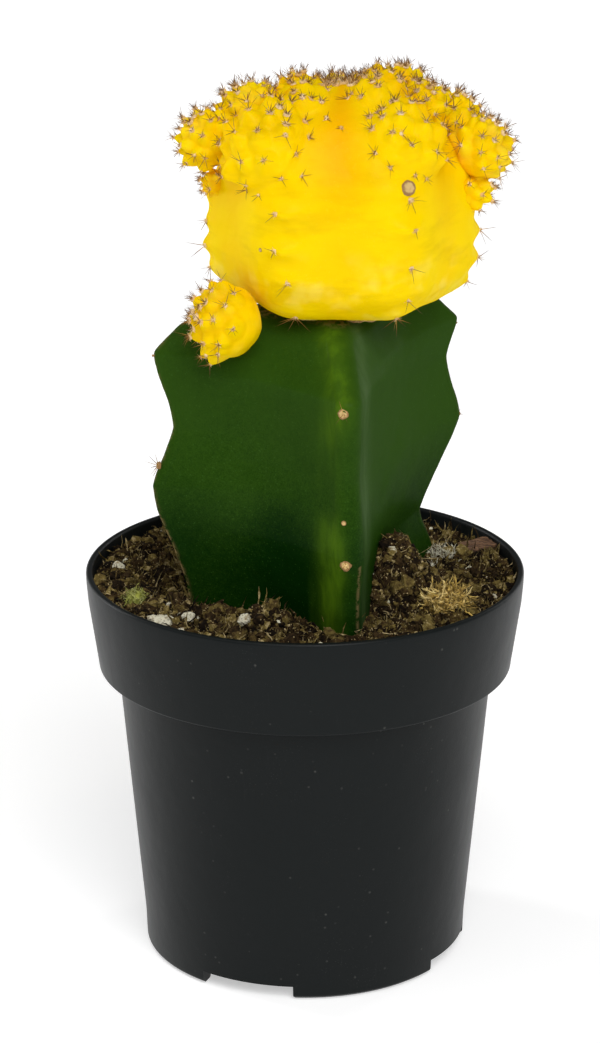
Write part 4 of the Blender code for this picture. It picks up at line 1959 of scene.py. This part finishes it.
@dataclass
class Scion:
    """The yellow grafted globe. Sizes in millimetres.

    Each of its marks is a scar's azimuth in degrees, height, radius and rise.
    """

    node: str = "scion"
    centre: tuple[float, float, float] = (5.3, -3.0, 114.0)
    radius: float = 18.2
    up: float = 18.0
    up_power: float = 2.2
    down: float = 13.3
    down_power: float = 3.5
    rib_depth: float = 0.048
    rib_width: float = 2.3
    rib_dip: float = 0.35
    tubercle: float = 0.75
    tubercle_height: float = 1.35
    dimple: float = 0.5
    apex_areoles: int = 15
    apex_spacing: float = 0.80
    steps: int = 360
    rows: int = 190
    ribs: tuple[ScionRib, ...] = (
        ScionRib(-62, (102.6, 105.5, 110.6, 116.2, 120.2, 129.2)),
        ScionRib(-116, (102.6, 108.5, 113.3, 118.4, 129.2)),
        ScionRib(181, (103.4, 106.4, 109.8, 113.4, 117.2)),
        ScionRib(121, (103.0, 108.0, 113.0, 118.2)),
        ScionRib(61, (102.8, 107.4, 112.6, 117.8)),
        ScionRib(1, (104.2, 107.8, 111.8, 115.8, 119.8)),
    )
    marks: tuple[tuple[float, float, float, float], ...] = (
        (-60.0, 121.8, 1.15, 0.24),
        (-127.0, 112.9, 0.28, 0.08),
    )
    finish: YellowFlesh = YellowFlesh()

    def __post_init__(self) -> None:
        """Read the height of the flat base from the frame."""
        self.base_z = float(box_mm(self.node)[0][2]) - 0.35

    def surface(self, azimuth: np.ndarray, level: np.ndarray) -> np.ndarray:
        """Points of the globe.

        Args:
            azimuth: angle round the axis, in radians.
            level: share of the height from the centre, -1 at the bottom and 1 at the top.

        Returns:
            One row for each point, in millimetres.
        """
        count = len(self.ribs)
        phase = count * (azimuth - math.radians(self.ribs[0].azimuth))
        power = np.where(level > 0, self.up_power, self.down_power)
        reach = np.where(level > 0, self.up, self.down)
        share = np.maximum(1 - np.abs(level) ** power, 0.0) ** (1 / power)
        height = self.centre[2] + reach * level
        radius = self.radius * (1 + np.cos(phase) * self.rib_depth)
        for rib in self.ribs:
            turn = (azimuth - math.radians(rib.azimuth) + np.pi) % (2 * np.pi) - np.pi
            across = np.exp(-((turn * self.radius) / self.rib_width) ** 2)
            radius -= self.rib_dip * across
            for z in rib.areoles:
                size = self.tubercle * (1.2 + 0.7 * math.sin(7.3 * z + rib.azimuth))
                radius += size * across * np.exp(-((height - z) / self.tubercle_height) ** 2)
        radius *= share
        height -= self.dimple * (np.maximum(level - 0.85, 0) / 0.15) ** 2
        height = np.maximum(height, self.base_z)
        x = self.centre[0] + np.cos(azimuth) * radius
        y = self.centre[1] + np.sin(azimuth) * radius
        return np.stack([x, y, height], -1)

    def swell(self, points: np.ndarray, offset: "Offset", blend: float = 4.0) -> np.ndarray:
        """Let an offset bulge out of the globe with a soft seam.

        Args:
            points: the globe's points, which are moved.
            offset: the fused offset.
            blend: width of the soft seam.

        Returns:
            How far each point belongs to the offset, from 0 to 1.
        """
        hub = np.array(self.centre)
        reach = np.linalg.norm(points - hub, axis=1)
        rays = (points - hub) / reach[:, None]
        to = offset.centre - hub
        along = rays @ to
        inner = offset.radius ** 2 - (to @ to - along ** 2)
        far = along + np.sign(inner) * np.sqrt(np.abs(inner))
        far = np.where(along > 0, far, -50.0)
        spread = np.sqrt((far - reach) ** 2 + blend ** 2)
        share = 0.5 + 0.5 * (far - reach) / spread
        near = eased(share, 0.002, 0.05)
        points += rays * (near * ((far + reach + spread) / 2 - reach))[:, None]
        ways = points - offset.centre
        ways /= np.linalg.norm(ways, axis=1)[:, None]
        rise = offset.rise(ways) * eased(share, 0.25, 0.7) * offset.radius
        upward = unit(offset.crown) - ways * (ways @ unit(offset.crown))[:, None]
        points += (ways + upward * offset.hook) * rise[:, None]
        return share

    def build(self, fused: Sequence["Offset"]) -> bpy.types.Object:
        """The ribbed globe with its fused offsets and a bump under each areole.

        Args:
            fused: offsets that have no seam with the globe.

        Returns:
            The globe, with how orange it turns in its furrows and towards the crown, partly its own tone
            and partly painted shade.
        """
        polar, azimuth = globe_grid(self.rows, self.steps)
        level = np.cos(polar)
        points = self.surface(azimuth, level)
        poles = self.surface(np.array([0.0, 0.0]), np.array([-1.0, 1.0]))
        points = np.vstack([points, poles])
        hub = np.array(self.centre)
        away = points - hub
        away /= np.linalg.norm(away, axis=1)[:, None]
        swell = 0.22 * rough(points, 6.0, 3, 3.0) + 0.03 * rough(points, 1.0, 2, 6.0)
        points += away * (swell * (points[:, 2] > self.base_z + 0.01))[:, None]
        shares = [self.swell(points, offset) for offset in fused]
        mesh = mesh_of("scion_flesh", points, loft_faces(self.rows, self.steps, True, True))
        azimuth = np.append(azimuth, [0, 0])
        level = np.append(level, [-1, 1])
        first = math.radians(self.ribs[0].azimuth)
        furrow = 0.5 - 0.5 * np.cos(len(self.ribs) * (azimuth - first))
        upper = eased(level, 0.05, 0.75)
        # orange in the furrows and towards the top, partly its own tone and partly painted shade, less
        # where a fused offset swells out
        depth = 0.75 * upper * (0.25 + 0.75 * furrow ** 2) + 0.12 * furrow ** 3
        for share in shares:
            depth = depth * (1 - 0.45 * eased(share, 0.3, 0.9))
        set_values(mesh, "depth", np.clip(depth, 0, 1))
        set_values(mesh, "pale", 1 - eased(level, -0.5, 0.0))
        return add_object("scion_flesh", mesh)

    def on_side(self, skin: Skin, azimuth: float, z: float) -> tuple[np.ndarray, np.ndarray]:
        """Find a place on the globe's side.

        Args:
            skin: the built globe's skin.
            azimuth: the place's direction from the axis, in degrees.
            z: its height.

        Returns:
            The place and the outward normal there.
        """
        turn = math.radians(azimuth)
        out = np.array([math.cos(turn), math.sin(turn), 0.0])
        return skin.hit(np.array([*self.centre[:2], z]) + out * 30, -out)

    def areoles(self, skin: Skin) -> list[Areole]:
        """Areoles along the ribs and the tight ring of them at the apex.

        Args:
            skin: the built globe's skin.

        Returns:
            The areoles.
        """
        found = []
        dice = random.Random(5)
        for rib in self.ribs:
            for z in rib.areoles:
                spot, normal = self.on_side(skin, rib.azimuth + dice.uniform(-3.0, 3.0), z)
                aim = unit(normal + np.array([0, 0, -0.35]))
                spines, reach = dice.choice((2, 3, 4, 5)), dice.uniform(1.7, 3.1)
                if z < self.base_z + 3:
                    spines, reach = 6, 3.2
                found.append(Areole(spot, aim, spines, reach, 1.15, 0.40, 12))
        top = np.array(self.centre) + [0, 0, self.up - 0.4]
        for number in range(self.apex_areoles):
            reach = self.apex_spacing * math.sqrt(number + 0.5)
            turn = number * GOLDEN_ANGLE
            start = top + [reach * math.cos(turn), reach * math.sin(turn), 6]
            spot, normal = skin.hit(start, (0, 0, -1))
            aim = unit(normal + np.array([0.25 * math.cos(turn), 0.25 * math.sin(turn), 0.4]))
            found.append(Areole(spot, aim, 7, 2.4, 0.65, 0.70, 18))
        return found

    def scars(self, skin: Skin) -> list["Scab"]:
        """The round scab on one rib and the small dark speck beside another.

        Args:
            skin: the built globe's skin.

        Returns:
            The scars.
        """
        found = []
        for azimuth, z, radius, height in self.marks:
            found.append(Scab(*self.on_side(skin, azimuth, z), radius, height))
        return found

    def dress(self, flesh: bpy.types.Object, fused: Sequence["Offset"]) -> None:
        """Give the globe its flesh; it stands for its CAD node and the fused offsets'."""
        nodes = [offset.node for offset in fused if offset.node in bpy.data.objects]
        settle(self.finish.cover(flesh), Slot.FLESH, self.node, *nodes)


@dataclass
class GraftCallus:
    """The thin corky roll between the rootstock and the scion. Sizes in millimetres."""

    scion: Scion
    thickness: float = 0.34
    steps: int = 240
    sides: int = 10

    def build(self) -> bpy.types.Object:
        """A closed uneven roll along the edge of the scion's flat base.

        Returns:
            The roll.
        """
        angles = np.linspace(0, 2 * np.pi, self.steps, endpoint=False)
        sides = np.linspace(0, 2 * np.pi, self.sides, endpoint=False)
        level = (self.scion.base_z - self.scion.centre[2]) / self.scion.down
        edge = self.scion.surface(angles, np.full_like(angles, level))
        hub = np.array([*self.scion.centre[:2], self.scion.base_z])
        out = (edge - hub) / np.linalg.norm(edge - hub, axis=1)[:, None]
        wave = rough(edge, 1.5, 4, 8.0)
        thick = self.thickness * (0.8 + 0.7 * wave)
        core = edge + out * (0.10 + 0.25 * wave)[:, None] + [0, 0, -0.05]
        points = []
        for index in range(self.steps):
            for side in sides:
                roll = out[index] * math.cos(side) + np.array([0, 0, 1.0]) * math.sin(side)
                points.append(core[index] + roll * max(thick[index], 0.12))
        faces = []
        for index in range(self.steps):
            ahead = (index + 1) % self.steps
            for side in range(self.sides):
                up = (side + 1) % self.sides
                low, high = index * self.sides, ahead * self.sides
                faces.append((low + side, high + side, high + up, low + up))
        mesh = mesh_of("graft_callus", np.array(points), faces)
        set_values(mesh, "rim", np.repeat(0.5 + 0.5 * wave, self.sides))
        return add_object("graft_callus", mesh)

    def dress(self, callus: bpy.types.Object) -> None:
        """Give the roll its cork."""
        settle(Cork().cover(callus), Slot.BARK)


# ---------------------------------------------------------------- offsets


@dataclass
class Offset:
    """A small tubercled globe that grows out of the scion. Sizes in millimetres."""

    node: str
    crown: tuple[float, float, float]
    relief: float = 0.85
    reach: float = 1.9
    tubercles: int = 34
    cover: float = 112.0
    hook: float = 0.45
    shrink: float = 0.95
    pull: float = 0.95
    fused: bool = False
    steps: int = 112
    rows: int = 72
    finish: YellowFlesh = YellowFlesh()

    def __post_init__(self) -> None:
        """Read the offset's place and size from its CAD node."""
        points = points_mm(bpy.data.objects[self.node].data)
        middle = (points.min(0) + points.max(0)) / 2
        hub = np.array(Scion.centre)
        far = points[(points - middle) @ (middle - hub) > 0]
        terms = np.column_stack([2 * far, -(far[:, 2] ** 2), np.ones(len(far))])
        found = np.linalg.lstsq(terms, far[:, 0] ** 2 + far[:, 1] ** 2, rcond=None)[0]
        flat = float(np.clip(found[3], 0.8, 1.4))
        centre = np.array([found[0], found[1], found[2] / found[3]])
        self.centre = hub + (centre - hub) * self.pull
        width = (points.max(0) - points.min(0))[:2].max() / 2
        self.radius = float(width) * self.shrink
        self.tall = 1 / math.sqrt(flat)
        self.seed = float(sum(self.centre))

    def tips(self) -> tuple[np.ndarray, np.ndarray]:
        """Directions of the tubercles and the half angle of each, crowded towards the crown.

        Returns:
            A row for each tubercle's direction, and its half angle in radians.
        """
        dice = np.random.default_rng(int(abs(self.seed) * 11))
        axes = basis(unit(self.crown))
        number = np.arange(self.tubercles) + 0.6
        polar = math.radians(self.cover) * (number / self.tubercles) ** 0.68
        turn = number * GOLDEN_ANGLE + self.seed
        local = directions(polar, turn)
        local += dice.normal(0, 0.055, local.shape)
        tips = local / np.linalg.norm(local, axis=1)[:, None] @ axes
        spans = np.arccos(np.clip(tips @ tips.T, -1, 1)) + np.eye(len(tips)) * 9
        return tips, np.sort(spans, 1)[:, :3].mean(1) * 0.66 * dice.uniform(0.85, 1.15, len(tips))

    def rise(self, rays: np.ndarray) -> np.ndarray:
        """Height of the tubercles in each direction, as a share of the radius.

        Args:
            rays: unit vectors from the offset's middle.

        Returns:
            The heights.
        """
        tips, spans = self.tips()
        bend = np.arccos(np.clip(rays @ tips.T, -1, 1)) / spans
        cones = np.clip(1.12 - np.sqrt(bend ** 2 + 0.0144), 0, 1) ** 1.2
        return (cones * spans * self.relief).max(1)

    def place(self, rays: np.ndarray, rise: np.ndarray) -> np.ndarray:
        """Points of the offset's skin, with the tubercles hooked towards the crown.

        Args:
            rays: unit vectors from the middle.
            rise: the height in each.

        Returns:
            Points in millimetres.
        """
        crown = unit(self.crown)
        sizes = 0.95 + 0.05 * rough(rays * 3, 2.0, 2, self.seed)
        radius = self.radius * (sizes - self.relief * 0.10 + rise)
        upward = crown - rays * (rays @ crown)[:, None]
        hooked = rays * radius[:, None] + upward * (rise * self.radius * self.hook)[:, None]
        return hooked * [1, 1, self.tall] + self.centre

    def build(self, scion_skin: Skin) -> bpy.types.Object:
        """The globe with a blunt cone under each areole.

        Args:
            scion_skin: the skin that it grows out of.

        Returns:
            The offset.
        """
        local = directions(*globe_grid(self.rows, self.steps))
        rays = np.vstack([local, [[0, 0, -1], [0, 0, 1]]]) @ basis(unit(self.crown))
        rise = self.rise(rays)
        points = self.place(rays, rise)
        mesh = mesh_of(self.node + "_flesh", points, loft_faces(self.rows, self.steps, True, True))
        # painted shade: orange between the tubercles and where the offset sits close against the globe
        valley = 1 - eased(rise, 0.0, 0.5 * float(rise.max()))
        seat = 1 - eased(scion_skin.gap(points), 0.2, 2.0)
        set_values(mesh, "depth", np.clip(0.22 * valley + 0.38 * seat, 0, 1))
        set_values(mesh, "pale", np.full(len(points), 0.4))
        return add_object(self.node + "_flesh", mesh)

    def areoles(self, skin: Skin, others: Sequence["Offset"]) -> list[Areole]:
        """An areole on each bare tubercle, woollier and more upright near the crown.

        Args:
            skin: the scion's.
            others: all offsets, of which the neighbours may cover a tubercle.

        Returns:
            The areoles.
        """
        tips, _ = self.tips()
        crown = unit(self.crown)
        dice = random.Random(int(self.seed * 7))
        spots = self.place(tips, self.rise(tips) * 0.97)
        found = []
        rivals = [other for other in others if other is not self]
        for tip, spot in zip(tips, spots):
            hidden = any(np.linalg.norm(spot - rival.centre) < 0.92 * rival.radius for rival in rivals)
            choice = dice.choice((4, 5, 6, 7))
            reach = self.reach * dice.uniform(0.7, 1.1)
            if self.fused:
                spot, _ = skin.hit(spot + tip * 5, -tip)
            if hidden or skin.holds(spot + tip * 0.3):
                continue
            young = max(float(tip @ crown), 0.0)
            aim = unit(tip + 0.35 * crown)
            wool = 0.27 + 0.24 * young ** 2
            spines = choice + round(4 * young ** 2)
            found.append(Areole(spot, aim, spines, reach, 1.05 - 0.35 * young, wool, 9 + int(9 * young)))
        return found

    def dress(self, flesh: bpy.types.Object) -> None:
        """Give the offset its flesh and let it stand for its CAD node."""
        settle(self.finish.cover(flesh), Slot.FLESH, self.node)


@dataclass
class Knob(Offset):
    """A tubercled swelling of the globe's own skin beside its apex. Sizes in millimetres."""

    relief: float = 1.1
    reach: float = 1.6
    cover: float = 100.0
    fused: bool = True
    middle: tuple[float, float, float] = (0.0, 0.0, 0.0)
    width: float = 3.0

    def __post_init__(self) -> None:
        """Take the place and size as given."""
        self.centre = np.array(self.middle)
        self.radius = self.width
        self.tall = 1.0
        self.seed = float(sum(self.centre))


def knobs() -> tuple[Knob, ...]:
    """The swellings round the apex.

    Returns:
        The swellings that exist only in the globe's skin.
    """
    near = {"tubercles": 20}
    far = {"tubercles": 18, "cover": 95.0}
    return (
        Knob("knob_left", (-0.2, -0.4, 0.9), middle=(0.6, -8.0, 128.3), width=3.3, **near),
        Knob("knob_right", (0.2, -0.4, 0.9), middle=(9.9, -7.6, 129.6), width=3.4, **near),
        Knob("knob_far_left", (-0.4, 0.2, 0.9), middle=(0.4, -1.2, 128.0), width=3.1, **far),
        Knob("knob_far_right", (0.4, 0.2, 0.9), middle=(10.2, -0.6, 129.4), width=3.2, **far),
    )


def offset_plans() -> tuple[Offset, ...]:
    """The offsets, once the frame is loaded.

    Returns:
        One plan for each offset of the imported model.
    """
    fused = {"relief": 1.0, "tubercles": 46, "cover": 130.0, "fused": True}
    bud = {"steps": 64, "rows": 40}
    low = {"tubercles": 30, "cover": 84.0, "relief": 0.75, "shrink": 0.93, "pull": 0.985}
    return (
        Offset("offset_left_shoulder", (-0.62, -0.20, 0.75)),
        Offset("offset_top_left", (-0.50, 0.05, 0.86)),
        Offset("offset_top_middle", (-0.05, -0.10, 1.0)),
        Offset("offset_front_left", (0.25, -0.35, 0.90), **fused),
        Offset("offset_crest_left", (-0.25, -0.10, 0.96)),
        Offset("offset_crest_middle", (0.10, 0.30, 0.95)),
        Offset("offset_crest_right", (0.25, -0.30, 0.92)),
        Offset("offset_front_right", (-0.30, -0.30, 0.90), **fused),
        Offset("offset_right_round", (0.45, 0.05, 0.89)),
        Offset("offset_right_shoulder", (0.62, -0.15, 0.77)),
        Offset("offset_back_left", (-0.30, 0.55, 0.78)),
        Offset("offset_back_middle", (0.0, 0.60, 0.80)),
        Offset("offset_back_right", (0.30, 0.55, 0.78)),
        Offset("offset_left_bud", (-0.98, -0.20, 0.10), tubercles=10, reach=1.2, **bud),
        Offset("offset_right_bud", (0.98, -0.20, 0.10), tubercles=13, reach=1.5, **bud),
        Offset("offset_low_left", (-0.90, -0.40, 0.20), **low),
    )


# ---------------------------------------------------------------- loose pieces


@dataclass
class LooseGrain:
    """A rough lump that lies on the soil and fills its CAD node's box."""

    node: str
    finish: Finish
    slot: Slot
    bumps: float = 0.22
    detail: int = 5

    def build(self) -> bpy.types.Object:
        """A ball pushed in and out by noise, stretched to the box.

        Returns:
            The grain, which may be strewn on its upper side.
        """
        low, high = box_mm(self.node)
        middle, half = (low + high) / 2, (high - low) / 2
        working = bmesh.new()
        bmesh.ops.create_icosphere(working, subdivisions=self.detail, radius=1.0)
        rays = np.array([v.co for v in working.verts])
        swell = 1 + self.bumps * rough(rays * half, 1.4, 4, float(middle[0])) - 0.06
        for vertex, ray, factor in zip(working.verts, rays, swell):
            vertex.co = Vector((middle + ray * half * factor) * MM)
        mesh = mesh_from(working, self.node + "_grain")
        mesh.shade_smooth()
        set_values(mesh, "shade", 0.5 + 0.5 * rough(rays * half, 0.9, 3, 2.0))
        set_values(mesh, "cover", (rays[:, 2] > -0.3).astype(float))
        return add_object(self.node + "_grain", mesh)

    def dress(self, grain: bpy.types.Object) -> None:
        """Give the grain its finish and let it stand for its CAD node."""
        settle(self.finish.cover(grain), self.slot, self.node)


@dataclass
class MossClump(LooseGrain):
    """Moss strands matted round a lumpy core. Sizes in millimetres."""

    strands: str = "moss_strands"
    sizes: tuple[float, float] = (0.8, 1.8)
    slender: float = 2.6
    apart: float = 0.17
    seed: int = MOSS_SEED

    def dress_strands(self, core: bpy.types.Object, growth: Growth) -> None:
        """Strew curled strands over the core.

        Args:
            core: the lumpy core.
            growth: the trees and templates.
        """
        lot = Strewing(
            self.strands,
            Template.STRAND,
            self.finish,
            self.slot,
            apart=self.apart,
            density=2e7,
            sizes=self.sizes,
            shades=(0.0, 1.2),
            ruffle=1.4,
            waves=1.5,
            slender=self.slender,
            tumble=0.35,
            lean=1.48,
            lift=0.12,
        )
        lot.grow(growth, core.data, self.seed)


@dataclass
class BarkChip:
    """A flake of bark with torn layers. Sizes in millimetres."""

    node: str = "bark_chip"
    turn: float = 35.0
    tilt: float = 12.0
    size: tuple[float, float, float] = (5.0, 2.8, 1.1)
    crease: float = 45.0
    cuts: int = 15

    def build(self) -> bpy.types.Object:
        """A gridded slab with a torn outline.

        Returns:
            The flake.
        """
        low, high = box_mm(self.node)
        working = bmesh.new()
        bmesh.ops.create_cube(working, size=1)
        bmesh.ops.subdivide_edges(working, edges=working.edges[:], cuts=self.cuts, use_grid_fill=True)
        spots = np.array([v.co for v in working.verts])
        lengths = np.linalg.norm(spots[:, :2] / 0.5, axis=1)
        trim = np.where(lengths > 0.72, 1 + 0.16 * rough(spots * 6, 1.0, 4, 2.0), 1.0)
        layers = 0.10 * rough(spots * [3, 8, 5], 1.0, 4, 7.0)
        tilted = Matrix.Rotation(math.radians(self.tilt), 4, "X")
        place = Matrix.Rotation(math.radians(self.turn), 4, "Z") @ tilted
        middle = Vector((low + high) / 2)
        for vertex, spot, cut, layer in zip(working.verts, spots, trim, layers):
            flat = Vector((spot[0] * cut, spot[1] * cut, spot[2] * 0.8 + layer))
            local = Vector([flat[i] * self.size[i] for i in range(3)])
            vertex.co = (middle + place @ local) * MM
        mesh = mesh_from(working, "bark_chip_flake")
        mesh.shade_smooth()
        mesh.set_sharp_from_angle(angle=math.radians(self.crease))
        return add_object("bark_chip_flake", mesh)

    def dress(self, flake: bpy.types.Object) -> None:
        """Give the flake its bark."""
        settle(Bark().cover(flake), Slot.BARK, self.node)


# ---------------------------------------------------------------- studio


def stand_facing(
    name: str, data: bpy.types.ID, target: Vector, back: Vector, distance: float
) -> bpy.types.Object:
    """Put a lamp or a camera at a distance from a target, facing it.

    Args:
        name: the object's name.
        data: the lamp or the camera.
        target: what it faces, in metres.
        back: the direction from the target to it.
        distance: how far away it stands, in metres.

    Returns:
        The object.
    """
    thing = bpy.data.objects.new(name, data)
    bpy.context.scene.collection.objects.link(thing)
    thing.location = target + back * distance
    thing.rotation_mode = "QUATERNION"
    thing.rotation_quaternion = back.to_track_quat("Z", "Y")
    return thing


@dataclass(frozen=True)
class SoftLamp:
    """A square soft light. Distances in metres, angles in degrees."""

    name: str
    azimuth: float
    elevation: float
    distance: float
    width: float
    height: float
    power: float

    def build(self, target: Vector) -> None:
        """Place the lamp and aim it.

        Args:
            target: what it lights, in metres.
        """
        light = bpy.data.lights.new(self.name, "AREA")
        light.shape = "RECTANGLE"
        light.size = self.width
        light.size_y = self.height
        light.energy = self.power
        a, e = math.radians(self.azimuth), math.radians(self.elevation)
        back = Vector((math.sin(a) * math.cos(e), -math.cos(a) * math.cos(e), math.sin(e)))
        stand_facing(self.name, light, target, back, self.distance)


@dataclass
class Studio:
    """Pale floor, white surround, soft lamps and the camera. Distances in metres."""

    target: tuple[float, float, float] = (0.0, 0.0, 0.060)
    distance: float = 0.549
    elevation: float = 19.87
    lens: float = 127.6
    sensor: float = 36.0
    shift: tuple[float, float] = (-0.0048, 0.040)
    surround: float = 0.18
    lamps: tuple[SoftLamp, ...] = (
        SoftLamp("key", 14, 44, 2.4, 1.4, 1.4, 39.0),
        SoftLamp("fill", -48, 58, 2.4, 1.6, 1.6, 8.0),
        SoftLamp("left_strip", -118, 6, 0.8, 0.14, 1.0, 3.4),
        SoftLamp("right_strip", 134, 6, 0.8, 0.12, 1.0, 1.5),
    )

    def build(self) -> None:
        """Build the studio."""
        self._floor()
        self._surround()
        for lamp in self.lamps:
            lamp.build(Vector(self.target))
        self._camera()
        bpy.context.scene.view_settings.view_transform = "Standard"

    def _floor(self) -> None:
        """A wide flat disc under the pot, in rings that stay round."""
        steps, radii = 96, (6.0, 3.0, 1.5, 0.7, 0.3, 0.1)
        angles = np.linspace(0, 2 * np.pi, steps, endpoint=False)
        points = np.vstack([*(circle(radius, angles) for radius in radii), [[0, 0, 0]]]) / MM
        mesh = mesh_of("floor", points, loft_faces(len(radii), steps, False, True))
        StudioFloor().cover(add_object("floor", mesh))

    def _surround(self) -> None:
        """White light from all round."""
        world = bpy.data.worlds.new("surround")
        world.use_nodes = True
        graph = Graph(world.node_tree)
        world.node_tree.nodes.clear()
        white = {"Color": (1.0, 1.0, 1.0)}
        light = graph.node("ShaderNodeBackground", None, white | {"Strength": self.surround})
        paper = graph.node("ShaderNodeBackground", None, white | {"Strength": 1.0})
        seen = graph.node("ShaderNodeLightPath").also("Is Camera Ray")
        both = graph.node("ShaderNodeMixShader", None, {0: seen, 1: light, 2: paper})
        graph.node("ShaderNodeOutputWorld", None, {"Surface": both})
        bpy.context.scene.world = world

    def _camera(self) -> None:
        """The camera in front of the plant, a little above it."""
        data = bpy.data.cameras.new("front")
        data.lens = self.lens
        data.sensor_width = self.sensor
        data.shift_x, data.shift_y = self.shift
        data.clip_start, data.clip_end = 0.01, 50.0
        tilt = math.radians(self.elevation)
        back = Vector((0, -math.cos(tilt), math.sin(tilt)))
        camera = stand_facing("front", data, Vector(self.target), back, self.distance)
        bpy.context.scene.camera = camera


# ---------------------------------------------------------------- the whole plant


def main() -> None:
    """Build every piece in order."""
    logging.basicConfig(level=logging.INFO, format="%(message)s")
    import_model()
    growth = Growth()
    pot = NurseryPot()
    pot.dress(pot.build())
    soil = SoilBed(pot)
    soil.dress(soil.build(), growth)
    rootstock = Rootstock()
    rootstock.dress(rootstock.build(), growth)
    scion = Scion()
    offsets = offset_plans()
    fused = [offset for offset in offsets if offset.fused] + list(knobs())
    flesh = scion.build(fused)
    skin = Skin(flesh)
    crown = AreoleBed("scion", Slot.FLESH)
    crown.areoles += scion.areoles(skin)
    scion.dress(flesh, fused)
    Scab.build_all("scion_scabs", scion.scars(skin), Slot.BARK)
    callus = GraftCallus(scion)
    callus.dress(callus.build())
    swellings = (*offsets, *knobs())
    for offset in swellings:
        if not offset.fused:
            offset.dress(offset.build(skin))
        crown.areoles += offset.areoles(skin, swellings)
    crown.grow(growth.sprouts, growth.shapes, GLOBE_SEED)
    for node in ("perlite_front_left", "perlite_left", "perlite_by_stem", "perlite_front"):
        grain = LooseGrain(node, Perlite(), Slot.MINERAL, 0.36)
        grain.dress(grain.build())
    lump = {"strands": "moss_lump_strands", "sizes": (0.4, 0.9), "apart": 0.13}
    mosses = (
        MossClump("moss_lump", FreshMoss(), Slot.MOSS, 0.3, 4, **lump),
        MossClump("sphagnum_clump", Moss(), Slot.MOSS, 0.35, strands="sphagnum_strands"),
    )
    for moss in mosses:
        core = moss.build()
        moss.dress_strands(core, growth)
        moss.dress(core)
    chip = BarkChip()
    chip.dress(chip.build())
    growth.clear()
    Studio().build()


if __name__ == "__main__":
    main()
